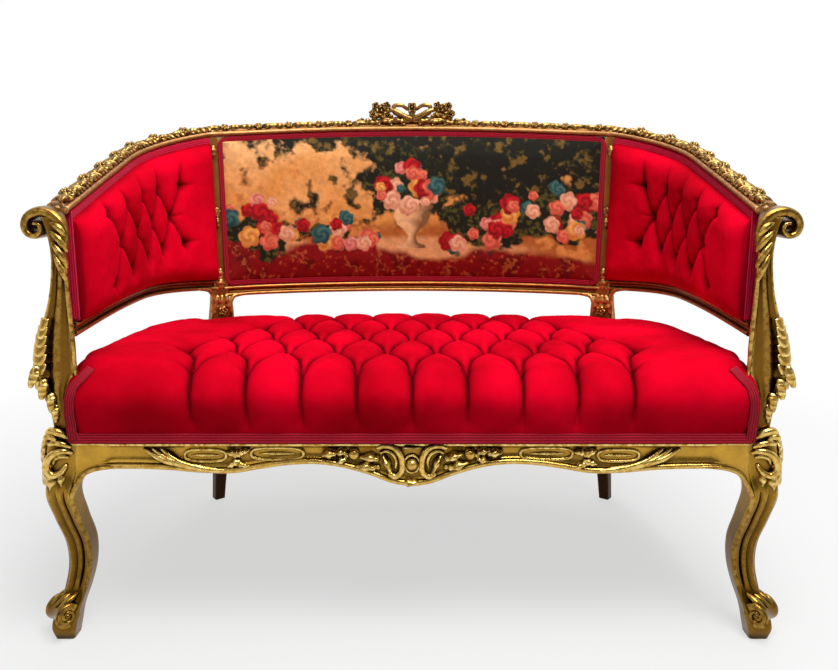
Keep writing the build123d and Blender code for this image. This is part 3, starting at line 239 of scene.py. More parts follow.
class Stock:
    """Grids of points gathered into the mesh of one piece. A piece of the left side is drawn as one of the
    right and mirrored."""

    def __init__(self, side=0):
        self.side = side
        self.points = []
        self.faces = []
        self.layout = []
        self.count = 0

    def grid(self, points, facing=None):
        """Quads between neighbouring rows and columns of a (rows, columns, 3) array. Each row is a ring, the
        first and last rows are closed, and the whole is turned to hold a positive volume. With a facing the
        rows are open, the whole is turned that way, and one face round the border closes it."""
        points = np.array(points, float)
        if self.side < 0:
            points[..., 0] *= -1.0
        rows, columns = points.shape[:2]
        index = np.arange(rows * columns).reshape(rows, columns)
        if facing is None:
            left, right = index, np.roll(index, -1, axis=1)
            caps = [index[0][::-1], index[-1]]
        else:
            left, right = index[:, :-1], index[:, 1:]
            caps = [np.concatenate([index[0, :-1], index[:-1, -1], index[-1, :0:-1], index[:0:-1, 0]])]
        quads = np.stack([left[:-1], right[:-1], right[1:], left[1:]], axis=-1).reshape(-1, 4)
        flat = points.reshape(-1, 3)
        corners = flat[quads]
        normal = np.cross(corners[:, 2] - corners[:, 0], corners[:, 3] - corners[:, 1])
        way = corners.mean(axis=1) - flat.mean(axis=0) if facing is None else np.asarray(facing)
        if np.sum(normal * way) < 0:
            quads = quads[:, ::-1]
            caps = [cap[::-1] for cap in caps]
        self.faces += (quads + self.count).tolist() + [(cap + self.count).tolist() for cap in caps]
        row_step = np.linalg.norm(np.diff(points, axis=0), axis=-1).mean(axis=1)
        column_step = np.linalg.norm(np.diff(points, axis=1), axis=-1).mean(axis=0)
        u = np.concatenate([[0.0], np.cumsum(row_step)])
        v = np.concatenate([[0.0], np.cumsum(column_step)])
        self.layout.append(np.stack(np.meshgrid(u, v, indexing="ij"), axis=-1).reshape(-1, 2))
        self.points.append(flat)
        self.count += rows * columns

    def put(self, shape, place, along, up):
        """Small carved shape set down at a place."""
        self.grid(lay(shape, place, along, up))

    def cord(self, points, count, radius, swell, up, columns=10, wide=1.0, tall=1.0):
        """Rounded stroke through a few points, swelling between its ends as taper says."""
        self.grid(tube(curve(points, count), radius * taper(count, *swell), up, columns, wide, tall))

    def make(self, node, material, sharp=None, merge=True, more=()):
        """Object in metres with a uv map along the grids' own lines, riding on the settee in place of a
        node and of more nodes that lie under it."""
        name = f"{node}_piece{SIDES[self.side]}"
        nodes = [kind + SIDES[self.side] for kind in (node, *more)]
        mesh = bpy.data.meshes.new(name)
        mesh.from_pydata(np.concatenate(self.points) * 0.001, [], self.faces)
        layer = mesh.uv_layers.new(name="Lines")
        loops = np.concatenate([np.asarray(face) for face in self.faces])
        layer.data.foreach_set("uv", (np.concatenate(self.layout)[loops] * 0.001).ravel())
        if merge:
            shape = bmesh.new()
            shape.from_mesh(mesh)
            bmesh.ops.remove_doubles(shape, verts=shape.verts, dist=2e-6)
            bmesh.ops.dissolve_degenerate(shape, edges=shape.edges, dist=1e-6)
            shape.to_mesh(mesh)
            shape.free()
        mesh.polygons.foreach_set("use_smooth", np.ones(len(mesh.polygons), bool))
        if sharp:
            mesh.set_sharp_from_angle(angle=math.radians(sharp))
        mesh.materials.append(material)
        piece = bpy.data.objects.new(name, mesh)
        bpy.context.scene.collection.objects.link(piece)
        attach(piece, "root")
        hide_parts(*nodes)
        return piece


# Carved shapes
def square_ring(count, power=7.0):
    """Ring round a square with softened corners: each side is walked evenly and every point is drawn in
    to a superellipse. Also gives each point's place along its side and the number of its side."""
    s = np.linspace(-1.0, 1.0, count, endpoint=False)
    one = np.ones_like(s)
    x = np.concatenate([s, one, -s, -one])
    y = np.concatenate([-one, s, one, -s])
    draw = (np.abs(x) ** power + np.abs(y) ** power) ** (-1.0 / power)
    return x * draw, y * draw, np.tile(s, 4), np.repeat(np.arange(4), count)


def leaf(length, width, thick, lobes=4, curl=0.0, hook=0.0, rows=18, columns=12):
    """Carved leaf along x: its half width is a sine swelling notched into lobes, its section is a low
    dome with a raised rib and hollows between the veins, and its tip lifts by curl and hooks sideways."""
    u = np.linspace(0.0, 1.0, rows)[:, None]
    angle = circle(columns)
    swell = np.sin(np.pi * u**0.72) ** 0.75
    notch = 0.70 + 0.30 * np.abs(np.cos(np.pi * lobes * u))
    across = 0.5 * width * swell * notch * np.cos(angle)
    upper = np.maximum(np.sin(angle), 0.0)
    rib = 0.45 * hump(np.cos(angle), 0.0, 0.28) * upper
    vein = 0.22 * np.cos(2 * np.pi * lobes * u) * np.abs(np.cos(angle)) * upper
    height = thick * np.sqrt(swell) * (upper + rib + vein + 0.35 * np.minimum(np.sin(angle), 0.0))
    return points_of(length * u, across + hook * length * u**2, height + curl * length * u**2)


def rose(radius, height, petals=5, rows=10, columns=30):
    """Carved flower: a dome whose rim is scalloped into petals, with a second turned ring of petals and
    a round bud in the middle."""
    r = np.linspace(1.0, 0.0, rows)[:, None]
    angle = circle(columns)
    scallop = np.abs(np.cos(0.5 * petals * angle))
    inner = np.abs(np.sin(0.5 * petals * angle))
    reach = radius * r * (1.0 - 0.26 * (1.0 - scallop) * ease(0.45, 1.0, r))
    cup = 0.55 * ease(1.0, 0.8, r) + 0.25 * scallop * hump(r, 0.78, 0.16)
    cup = cup + 0.30 * inner * hump(r, 0.45, 0.13) - 0.28 * hump(r, 0.28, 0.07)
    cup = cup + 0.40 * hump(r, 0.0, 0.2)
    return points_of(reach * np.cos(angle), reach * np.sin(angle), height * cup)


def dome(radius, height, rows=6, columns=14):
    """Round boss: its height falls from the middle as the root of one less the distance squared."""
    r = np.linspace(1.0, 0.0, rows)[:, None]
    angle = circle(columns)
    rise = height * np.sqrt(np.maximum(0.0, 1.0 - r**2))
    return points_of(radius * r * np.cos(angle), radius * r * np.sin(angle), rise)


def scale(length, width, thick, rows=10, columns=14):
    """Blunt scale along x: full width at its root, round at its tip, domed, and thickest near the tip."""
    u = np.linspace(0.0, 1.0, rows)[:, None]
    angle = circle(columns)
    half = 0.5 * width * np.sqrt(np.maximum(1.0 - u**2.6, 0.0))
    rise = thick * (0.35 + 0.65 * u) * np.sqrt(np.maximum(1.0 - u**8, 0.0)) * np.sin(angle)
    return points_of(length * u, half * np.cos(angle), rise)


def spiral(start, end, turns, first_angle, hand, count):
    """Flat spiral whose radius falls by equal shares for equal angles: its x, z and radius."""
    t = np.linspace(0.0, 1.0, count)
    radius = start * (end / start) ** t
    angle = first_angle + hand * 2 * np.pi * turns * t
    return radius * np.cos(angle), radius * np.sin(angle), radius


# Finishes
def srgb(red, green, blue):
    """Colour given as screen values from 0 to 255, in linear light."""
    value = np.array([red, green, blue]) / 255.0
    linear = np.where(value <= 0.04045, value / 12.92, ((value + 0.055) / 1.055) ** 2.4)
    return (*linear.tolist(), 1.0)


class Finish:
    """Node tree of a material or a world, with short ways to add and join nodes."""

    def __init__(self, holder, shader="Principled BSDF"):
        self.holder = holder
        holder.use_nodes = True
        self.tree = holder.node_tree
        self.shader = self.tree.nodes[shader]
        self.place = self.add("ShaderNodeTexCoord").outputs

    def add(self, kind, settings=None, **inputs):
        """New node with its settings, and its inputs set to values or joined to sockets."""
        node = self.tree.nodes.new(kind)
        for key, value in (settings or {}).items():
            setattr(node, key, value)
        for key, value in inputs.items():
            self.put(node.inputs[key.replace("_", " ")], value)
        return node

    def put(self, socket, value):
        """Value or joined socket into an input."""
        if isinstance(value, bpy.types.NodeSocket):
            self.tree.links.new(value, socket)
        else:
            socket.default_value = value

    def fill(self, node, *values):
        """Values or joined sockets into a node's inputs, given as pairs of number and value."""
        for number, value in values:
            self.put(node.inputs[number], value)
        return node

    def parts(self, kind):
        """The x, y and z of a texture coordinate."""
        return self.add("ShaderNodeSeparateXYZ", Vector=self.place[kind]).outputs

    def noise(self, scale, detail=4.0, rough=0.55, where=None):
        """Cloudy pattern on object coordinates."""
        vector = where or self.place["Object"]
        node = self.add("ShaderNodeTexNoise", Vector=vector, Scale=scale, Detail=detail, Roughness=rough)
        return node.outputs["Fac"]

    def spread(self, value, low, high, out_low=0.0, out_high=1.0):
        """Value stretched from one range to another, kept inside it."""
        node = self.fill(self.add("ShaderNodeMapRange"), ("Value", value), ("From Min", low),
                         ("From Max", high), ("To Min", out_low), ("To Max", out_high))
        return node.outputs["Result"]

    def mix(self, share, first, second, blend="MIX"):
        """Two colours mixed by a share."""
        node = self.add("ShaderNodeMix", {"data_type": "RGBA", "blend_type": blend})
        return self.fill(node, (0, share), (6, first), (7, second)).outputs[2]

    def sum(self, kind, first, second):
        """Arithmetic on two values."""
        node = self.add("ShaderNodeMath", {"operation": kind})
        return self.fill(node, (0, first), (1, second)).outputs[0]

    def wave(self, value, pitch):
        """Sine wave of a pitch along a value."""
        return self.sum("SINE", self.sum("MULTIPLY", value, 2 * math.pi / pitch), 0.0)

    def weave(self, kind, pitch):
        """Crossed threads of a pitch: a wave along x times a wave along y."""
        across, along = self.parts(kind)[:2]
        return self.sum("MULTIPLY", self.wave(across, pitch), self.wave(along, pitch))

    def hollows(self, distance):
        """Painted shade from an occlusion reading: 0 in hollows narrower than a distance and 1 in the open.
        """
        node = self.add("ShaderNodeAmbientOcclusion", {"samples": 8}, Distance=distance)
        return self.spread(node.outputs["AO"], 0.35, 0.95)

    def bump(self, height, strength, depth):
        """Fine relief on the shader."""
        node = self.add("ShaderNodeBump", Height=height, Strength=strength, Distance=depth)
        self.put(self.shader.inputs["Normal"], node.outputs["Normal"])

    def set(self, **inputs):
        """Shader inputs by name."""
        for key, value in inputs.items():
            self.put(self.shader.inputs[key.replace("_", " ")], value)


def gilt(name, deep, gold, bright, rough=(0.18, 0.34), shade_to=None):
    """Gold leaf over carved wood: brown painted shade in the hollows, bright on the edges (partly rubbed wear
    and partly a painted highlight), mottled between. A tint given with two heights is painted shade over it
    from the higher down to the lower."""
    f = Finish(bpy.data.materials.new(name))
    mottle = f.noise(34.0, 6.0, 0.62)
    # Painted shade: the occlusion reading darkens the hollows to the deep colour, mottled at random
    shade = f.sum("MULTIPLY", f.hollows(0.014), f.spread(mottle, 0.25, 0.60, 0.6, 1.0))
    tone = f.mix(shade, srgb(*deep), srgb(*gold))
    # Bright edges: partly rubbed wear, partly a painted highlight on the ridges
    edge = f.spread(f.add("ShaderNodeNewGeometry").outputs["Pointiness"], 0.505, 0.57)
    wear_and_highlight = f.sum("MULTIPLY", edge, f.spread(f.noise(120.0), 0.35, 0.6))
    tone = f.mix(wear_and_highlight, tone, srgb(*bright))
    if shade_to:
        # Painted shade towards the floor: the tint darkens the gilding below the higher height
        low, high, tint = shade_to
        tone = f.mix(f.spread(f.parts("Object")[2], low, high, 1.0, 0.0), tone, tint, "MULTIPLY")
    f.set(Base_Color=tone, Metallic=0.92, Roughness=f.spread(mottle, 0.3, 0.7, *rough))
    f.bump(f.noise(420.0, 3.0), 0.2, 0.0005)
    return f.holder


def velvet(name, deep, full, dark):
    """Cut-pile velvet: patches of brushed pile, painted shade in the folds and towards the seat's foot, soft
    sheen, fine nap."""
    f = Finish(bpy.data.materials.new(name))
    brushed = f.spread(f.noise(6.0, 4.0, 0.55), 0.30, 0.72)
    # Painted shade towards the seat's foot: the colour falls to two thirds low on the seat
    foot = f.spread(f.parts("Object")[2], 0.345, 0.430, 0.66, 1.0)
    # Painted shade in the folds: the occlusion reading mixes in the dark colour
    pile = f.mix(f.hollows(0.05), srgb(*dark), f.mix(brushed, srgb(*deep), srgb(*full)))
    f.set(Base_Color=f.mix(1.0, pile, foot, "MULTIPLY"), Roughness=0.9, Specular_IOR_Level=0.02)
    f.set(Sheen_Weight=0.10, Sheen_Roughness=0.4, Sheen_Tint=(1.0, 0.0, 0.06, 1.0))
    f.bump(f.sum("ADD", f.noise(1400.0, 2.0), f.noise(90.0, 4.0)), 0.16, 0.0008)
    return f.holder


def braid(name, deep, full, light):
    """Woven gimp: cords along the band and fine ribs across it, read from the band's own lines."""
    f = Finish(bpy.data.materials.new(name))
    along, across = f.parts("UV")[:2]
    rib = f.spread(f.wave(along, 0.0030), -1.0, 1.0)
    cord = f.spread(f.wave(across, 0.0042), -1.0, 1.0)
    tone = f.mix(f.sum("MULTIPLY", cord, f.spread(rib, 0.0, 1.0, 0.75, 1.0)), srgb(*deep), srgb(*full))
    fleck = f.spread(f.noise(700.0, 2.0), 0.5, 0.75, 0.0, 0.6)
    tone = f.mix(f.sum("MULTIPLY", f.spread(cord, 0.7, 1.0), fleck), tone, srgb(*light))
    f.set(Base_Color=tone, Roughness=0.75, Specular_IOR_Level=0.15)
    f.set(Sheen_Weight=0.12, Sheen_Roughness=0.4, Sheen_Tint=(1.0, 0.3, 0.45, 1.0))
    f.bump(f.sum("ADD", cord, f.sum("MULTIPLY", rib, 0.4)), 0.4, 0.0006)
    return f.holder


def printed(name, tint):
    """Printed cloth: the colours painted on the piece, toned by a tint and broken by a fine weave."""
    f = Finish(bpy.data.materials.new(name))
    paint = f.add("ShaderNodeAttribute", {"attribute_name": "Print"}).outputs["Color"]
    weave = f.weave("UV", 0.0016)
    uneven = f.spread(f.noise(300.0), 0.3, 0.7, -0.6, 0.6)
    shade = f.spread(f.sum("ADD", weave, uneven), -1.5, 1.5, 0.86, 1.0)
    tone = f.mix(1.0, f.mix(1.0, paint, shade, "MULTIPLY"), tint, "MULTIPLY")
    f.set(Base_Color=tone, Roughness=0.7, Specular_IOR_Level=0.12)
    f.bump(weave, 0.2, 0.0004)
    return f.holder


def plain_wood(name, dark, light):
    """Unfinished wood: streaked along one way, matt."""
    f = Finish(bpy.data.materials.new(name))
    stretch = f.add("ShaderNodeMapping", Vector=f.place["Object"], Scale=(6.0, 60.0, 60.0))
    grain = f.noise(4.0, 8.0, 0.6, stretch.outputs["Vector"])
    f.set(Base_Color=f.mix(f.spread(grain, 0.3, 0.7), srgb(*dark), srgb(*light)), Roughness=0.7)
    f.bump(grain, 0.2, 0.0006)
    return f.holder


def coarse_cloth(name, dark, light, pitch):
    """Plain-woven cloth: crossed threads of a pitch, flecked."""
    f = Finish(bpy.data.materials.new(name))
    weave = f.spread(f.weave("Object", pitch), -1.0, 1.0)
    tone = f.mix(f.sum("MULTIPLY", weave, f.noise(200.0)), srgb(*dark), srgb(*light))
    f.set(Base_Color=tone, Roughness=0.9)
    f.bump(weave, 0.4, 0.0008)
    return f.holder


def steel(name, dark, light):
    """Zinc-plated steel, brushed and slightly mottled."""
    f = Finish(bpy.data.materials.new(name))
    fleck = f.noise(300.0)
    f.set(Base_Color=f.mix(fleck, srgb(*dark), srgb(*light)), Metallic=1.0)
    f.set(Roughness=f.spread(fleck, 0.3, 0.7, 0.3, 0.5))
    return f.holder


# Each gilding's first colour is the painted shade of its hollows, its last partly a painted highlight on its
# edges
GOLD = gilt("Gilded carving", (44, 28, 6), (204, 156, 58), (255, 226, 140))
# Darker copies for the legs and arm posts, painted as if in shade; the legs and back posts also get painted
# shade towards the floor
LEG_GOLD = gilt("Gilded carving, shaded", (40, 25, 5), (176, 132, 44), (240, 200, 104),
                shade_to=(0.19, 0.31, (0.44, 0.39, 0.27, 1.0)))
SHADED_GOLD = gilt("Shaded gilding", (32, 19, 4), (128, 88, 24), (232, 190, 96))
AGED_GOLD = gilt("Aged gilding", (24, 14, 4), (104, 75, 30), (190, 150, 82), (0.26, 0.42))
PALE_GOLD = gilt("Worn gilding", (44, 22, 9), (146, 98, 52), (226, 178, 122), (0.36, 0.52))
COPPER_GOLD = gilt("Rubbed gilding", (40, 20, 7), (162, 100, 44), (232, 178, 102), (0.32, 0.48))
POST_GOLD = gilt("Rubbed gilding with painted shade at the feet", (40, 20, 7), (162, 100, 44), (232, 178, 102),
                 (0.32, 0.48), (0.27, 0.42, (0.08, 0.07, 0.05, 1.0)))
# The velvet's third colour is the painted shade of its folds and pits
VELVET = velvet("Crimson velvet", (154, 0, 16), (214, 0, 35), (74, 0, 5))
BRAID = braid("Raspberry gimp", (104, 3, 18), (166, 12, 38), (200, 50, 74))
# Lighter copy of the gimp: painted light for the wing's braid, which lies in the rail's shade
PAINTED_LIGHT_BRAID = braid("Raspberry gimp, painted lighter", (140, 6, 34), (206, 20, 62), (232, 84, 112))
PRINT = printed("Printed flower cloth", (0.86, 0.56, 0.46, 1.0))
BARE_WOOD = plain_wood("Beech framing", (150, 108, 66), (204, 164, 112))
JUTE = coarse_cloth("Jute", (96, 68, 36), (176, 140, 92), 0.004)
DUST_CLOTH = coarse_cloth("Black dust cloth", (12, 12, 13), (44, 44, 46), 0.002)
STEEL = steel("Zinced steel", (120, 118, 112), (190, 188, 180))

# Front legs: centre and half width across, way out and half depth at heights
LEG_HEIGHTS = [0, 20, 48, 80, 111, 160, 211, 256, 290, 340]
LEG_CENTRE_X = [584, 584, 579, 569, 562, 560, 570, 579, 577, 571.2]
LEG_HALF_X = [16, 20, 20, 18.5, 18.5, 19.5, 20.5, 22, 26, 31]
LEG_OUT_Y = [6, 9, 6, -7, -11, -7, 6, 12, 3, 0]
LEG_HALF_Y = [16, 20, 19, 18, 18.5, 20, 22, 24.5, 26.5, 28]
TOE_HALF = 21.0


def leg_section(z):
    """Centre and half width across, way out and half depth of a front leg at heights."""
    tables = (LEG_CENTRE_X, LEG_HALF_X, LEG_OUT_Y, LEG_HALF_Y)
    return [smooth_through(LEG_HEIGHTS, values, z) for values in tables]


def leg_face(z):
    """How far the face of a front leg stands before its middle line at heights."""
    return smooth_through(LEG_HEIGHTS, np.add(LEG_OUT_Y, LEG_HALF_Y), z)


def front_leg(side):
    """Cabriole leg: a soft square whose size and centre follow smooth curves up the leg, with two grooves
    on its front and outer faces, a bead that runs down its inner edge from the rail, and for the toe a
    barrel with a spiral on each end."""
    stock = Stock(side)
    x, y, s, number = square_ring(20)
    z = np.linspace(0.0, RAIL_TOP, 120)[:, None]
    centre_x, half_x, out_y, half_y = leg_section(z)
    carved = ease(66.0, 96.0, z) * ease(286.0, 240.0, z)
    groove = hump(s, 0.34, 0.11) + hump(s, -0.30, 0.11)
    relief = carved * (2.0 * hump(np.abs(s), 0.78, 0.12) - 4.6 * groove)
    px = centre_x + x * half_x + np.where(number == 1, relief, 0.0)
    py = LEG_Y - out_y + y * half_y - np.where(number == 0, relief, 0.0)
    stock.grid(points_of(px, py, z))
    z = np.linspace(246.0, 84.0, 16)
    centre_x, half_x, out_y, half_y = leg_section(z)
    down = points_of(centre_x - 0.89 * half_x, LEG_Y - out_y - 0.89 * half_y, z)
    over = [[x, RAIL_FRONT - 4.0, rail_edge(x) + 4.0] for x in (470.0, 490.0, 508.0, 524.0, 537.0)]
    bead = np.concatenate([over, [[550.0, RAIL_FRONT - 6.0, 272.0]], down])
    stock.cord(bead, 120, 4.4, (0.2, 0.3, 0.25), BACKWARD)
    middle = np.array([LEG_X + 17.0, LEG_Y - 17.0, 46.0])
    axle = unit([1.0, 1.0, 0.0])
    out = unit([1.0, -1.0, 0.0])
    t = np.linspace(-TOE_HALF, TOE_HALF, 13)[:, None]
    angle = circle(36)
    radius = 16.5 + 4.0 * (t / TOE_HALF) ** 2
    barrel = middle + t[..., None] * axle + (radius * np.cos(angle))[..., None] * out
    stock.grid(barrel + (radius * np.sin(angle))[..., None] * UP)
    for end in (-1, 1):
        px, pz, r = spiral(18.5, 5.5, 1.2, 0.6 * np.pi, -1, 56)
        path = middle + px[:, None] * out + pz[:, None] * UP + end * (TOE_HALF + 0.5) * axle
        stock.grid(tube(path, 2.2 + 0.12 * r, axle, 9))
        stock.put(dome(5.0, 5.0), middle + end * (TOE_HALF - 0.5) * axle, out, end * axle)
    collar = [middle + ahead * out + rise * UP for ahead, rise in ((-22, 30.0), (-6, 23.0), (13, 13.0))]
    for shift in (-13.0, 0.0, 13.0):
        stock.cord([point + shift * axle for point in collar], 18, 6.0, (), UP, 9, 1.1, 0.8)
    stock.make("front_leg", LEG_GOLD, sharp=55)


# Arm posts: reach at heights, and curl and folds as places out from the leg's middle and heights
ARM_HEIGHTS = [338, 363, 390, 425, 458, 485, 512, 540, 580, 620, 660, 690, 712]
ARM_OUTER = [20, 17, 21, 32, 41, 40, 36, 29, 18, 12, 12, 18, 26]
ARM_INNER = [14, 12, 11, 13, 26, 27, 25, 23, 20, 19, 17, 15, 8]
ARM_CURL = [(-15, 662), (-14, 684), (-5, 705), (11, 718), (30, 720), (45, 712), (50, 698), (44, 685),
            (32, 682), (24, 690), (26, 700), (34, 702)]
ARM_FOLDS = [[(8, 704), (-6, 696), (-18, 680)], [(8, 690), (-6, 678), (-19, 656)],
             [(6, 672), (-7, 656), (-18, 630)], [(2, 652), (-8, 632), (-17, 606)]]


def arm_outer(z):
    """How far the arm post reaches outwards from the leg's middle at heights."""
    return smooth_through(ARM_HEIGHTS, ARM_OUTER, z)


def arm_inner(z):
    """How far the arm post reaches inwards from the leg's middle at heights."""
    return smooth_through(ARM_HEIGHTS, ARM_INNER, z)


def arm_post(side):
    """Arm post: a soft oblong between an outer and an inner curve up the post, fluted in front between edge
    beads and drawn outwards behind, with a thick ribbon that curls outwards over its head and folds that
    run from the curl down to the inner edge."""
    stock = Stock(side)
    z = np.linspace(ARM_HEIGHTS[0], ARM_HEIGHTS[-1], 130)[:, None]
    x, y, s, number = square_ring(18)
    outer, inner = arm_outer(z), arm_inner(z)
    fluted = ease(370.0, 430.0, z) * ease(680.0, 610.0, z)
    flute = 5.0 * hump(s, 0.44, 0.24) + 4.2 * hump(s, -0.42, 0.20)
    bead = 2.0 * hump(np.abs(s), 0.86, 0.09)
    chamfer = 24.0 * ease(400.0, 440.0, z) * np.clip(-x, 0.0, 1.0) * (y + 1.0) / 2
    px = LEG_X + (outer - inner) / 2 + x * (outer + inner) / 2 + chamfer
    py = (ARM_FRONT + ARM_BACK) / 2 + y * (ARM_BACK - ARM_FRONT) / 2
    stock.grid(points_of(px, py + np.where(number == 0, fluted * (flute - bead), 0.0), z))
    path = curve([[LEG_X + out, 0.0, height] for out, height in ARM_CURL], 110)
    t = np.linspace(0.0, 1.0, 110)
    radius = np.interp(t, [0.0, 0.12, 0.5, 0.75, 1.0], [3.0, 7.0, 9.0, 6.6, 3.2])
    ribbon = tube(path, radius, BACKWARD, 28, 1.0, 1.0 / radius, 0.55)
    half = 6.0 + 21.0 * ease(0.16, 0.45, t)[:, None]
    ribbon[..., 1] = ARM_FRONT - 3.5 + half * (1.0 + ribbon[..., 1])
    stock.grid(ribbon)
    for fold in ARM_FOLDS:
        points = [[LEG_X + out, ARM_FRONT - 0.5 - 2.5 * (at == 1), height]
                  for at, (out, height) in enumerate(fold)]
        stock.cord(points, 26, 5.8, (0.3, 0.25, 0.6), BACKWARD)
    edge = [[LEG_X - arm_inner(z) + 3.5, ARM_FRONT - 0.5, z] for z in (640, 590, 540, 500, 470)]
    edge += [[LEG_X - 27.0, ARM_FRONT + 1.0, 450.0], [LEG_X - 34.0, ARM_FRONT + 6.0, 440.0]]
    stock.cord(edge, 60, 3.8, (0.2, 0.5, 0.3), BACKWARD)
    stock.make("arm_post", SHADED_GOLD, sharp=55)


# Back posts: height, width, depth and offset at each station
POST_STATIONS = [(0, 24, 24, 37), (70, 28, 27, 26), (148, 36, 35, 13), (230, 44, 42, 1), (285, 46, 44, -3),
                 (340, 46, 44, -3), (388, 46, 34, -1), (437, 52, 30, 0), (480, 40, 30, 4.1),
                 (528, 35, 30, 8.8), (600, 35, 30, 15.7), (860, 36, 30, 40.7)]


def back_post(side):
    """Back leg and stile: a soft oblong whose width, depth and offset follow smooth curves from the foot to
    the top rails, with a hollow between two beads on the front of the stile."""
    stock = Stock(side)
    z = np.linspace(0.0, STILE_TOP, 150)[:, None]
    heights, *tables = np.array(POST_STATIONS, float).T
    width, depth, offset = (smooth_through(heights, values, z) for values in tables)
    x, y, s, number = square_ring(14)
    px, py = plan(STILE_RUN, offset)[:2]
    along, outward = directions(STILE_RUN)
    hollow = ease(500.0, 560.0, z) * (2.6 * (1.0 - s**4) - 1.4 * hump(np.abs(s), 0.8, 0.12))
    shift = y * (depth / 2) + np.where(number == 0, hollow, 0.0)
    place = points_of(px, py, z)
    stock.grid(place + (x * (width / 2))[..., None] * along + shift[..., None] * outward)
    stock.make("back_post", POST_GOLD, sharp=55)


# Seat rails: the front rail's lower edge as places across and heights
RAIL_EDGE = [(0, 268), (30, 273), (68, 287), (118, 301), (162, 306), (205, 304), (248, 298), (289, 291),
             (340, 291), (400, 296), (462, 298), (502, 297), (524, 293), (541, 284), (553, 270), (562, 254)]
RAIL_TENON = 22.0
RAIL_DEPTH = 38.0
RAIL_BEAD = 5.0
SIDE_RAIL_OUT = 14.0


def rail_edge(x):
    """Height of the front rail's wavy lower edge."""
    reach, height = np.array(RAIL_EDGE, float).T
    return smooth_through(reach, height, np.abs(x))


def rail_section(height, out, back, plain=0.0):
    """Moulded rail section as (out, up) values for rails of several heights: a bead at the foot, a hollow
    face that flattens where the rail is plain, a fillet at the top, then round the plain back."""
    height = np.asarray(height, float)[:, None]
    shown = 1.0 - np.broadcast_to(plain, (len(height),))[:, None]
    face = out + 1.0
    turn = np.linspace(-0.5 * np.pi, 0.5 * np.pi, 9)[None]
    bead_rise = RAIL_BEAD + RAIL_BEAD * np.sin(turn) + 0 * height
    bead = np.stack([face + RAIL_BEAD * shown * np.cos(turn), bead_rise], axis=-1)
    t = np.linspace(0.0, 1.0, 14)[None]
    hollow = np.stack([face + shown * (0.5 - 3.5 * np.sin(np.pi * t) ** 0.7), 11.0 + (height - 15.5) * t],
                      axis=-1)
    lip = face + shown * np.array([[1.5, 2.0, 1.5]])
    top = np.stack([np.concatenate([lip, np.full((len(height), 2), back)], axis=1),
                    np.concatenate([height - 3.5, height - 2.0, height, height, 0 * height], axis=1)],
                   axis=-1)
    return np.concatenate([bead, hollow, top], axis=1)


def front_rail():
    """Front rail: the moulded section carried from leg to leg above a wavy lower edge, swelling forward at
    its ends to the leg's own face."""
    stock = Stock()
    x = np.linspace(-LEG_INNER - RAIL_TENON, LEG_INNER + RAIL_TENON, 330)
    bottom = rail_edge(x)
    plain = ease(488.0, 534.0, np.abs(x))
    section = rail_section(RAIL_TOP - bottom, 0.0, -RAIL_DEPTH, plain)
    shown = section[:, :-2]
    knee = leg_face(bottom[:, None] + shown[..., 1]) - 26.6
    shown[..., 0] += plain[:, None] * (knee - shown[..., 0])
    shown[..., 0] -= 5.0 * ease(LEG_INNER + 8.0, LEG_INNER + RAIL_TENON, np.abs(x))[:, None]
    stock.grid(carry(section, points_of(x, RAIL_FRONT, bottom), FRONT, UP))
    stock.make("front_rail", GOLD, sharp=50)


def seat_rail(node, start, end, side=0):
    """Side or back rail: the moulded section carried along the plan between two runs."""
    stock = Stock(side)
    run = np.linspace(start, end, 90)
    x, y = plan(run, SIDE_RAIL_OUT)[:2]
    section = rail_section(np.full(len(run), RAIL_TOP - RAIL_BOTTOM), -3.0, -34.0)
    stock.grid(carry(section, points_of(x, y, RAIL_BOTTOM), directions(run)[1], UP))
    stock.make(node, GOLD, sharp=50)


# Rails round the back, as offsets outwards and rises
TOP_PROFILE = [(-12, 0), (-15.5, 1), (-18, 4), (-18.5, 7.5), (-16.5, 11), (-13, 12.5), (-11, 13), (-9.5, 15),
               (-7, 17.5), (-2, 19), (6, 19.5), (13, 18.5), (17, 16), (19.5, 12), (20, 7.5), (18.5, 3),
               (15, 0.5), (9, 0), (-5, 0)]
LOWER_PROFILE = [(-8, 0), (-12.5, 0.5), (-15, 3), (-15, 6.5), (-12.5, 8.5), (-10, 10), (-9.5, 13), (-11, 16),
                 (-14, 17), (-15.5, 19.5), (-14.5, 22.5), (-11, 24), (0, 24.3), (10, 24), (13.5, 21),
                 (14.5, 12), (13.5, 3), (9, 0)]


def back_rail_run(node, start, end, profile, level, material, side=0):
    """Moulded rail of the back: a profile of offsets and rises carried along the leaning line between
    runs."""
    stock = Stock(side)
    run = np.linspace(start, end, 150)[:, None]
    steps = np.arange(len(profile) + 1)
    at = np.linspace(0.0, len(profile), 3 * len(profile), endpoint=False)
    offset, rise = (smooth_through(steps, np.append(values, values[0]), at)
                    for values in np.array(profile, float).T)
    stock.grid(back_points(run, offset, level(run) + rise))
    stock.make(node, material, sharp=60)


def rail_frame(run, offset, rise):
    """Place on the top rails with the way along them, the way up from them and the way outwards."""
    ends = np.array([run - 2.0, run + 2.0])
    points = back_points(ends, offset, top_underside(ends) + TOP_RAIL_HEIGHT + rise)
    heading = unit(points[1] - points[0])
    outward = directions(run)[1]
    return points.mean(axis=0), heading, unit(np.cross(outward, -heading)), outward


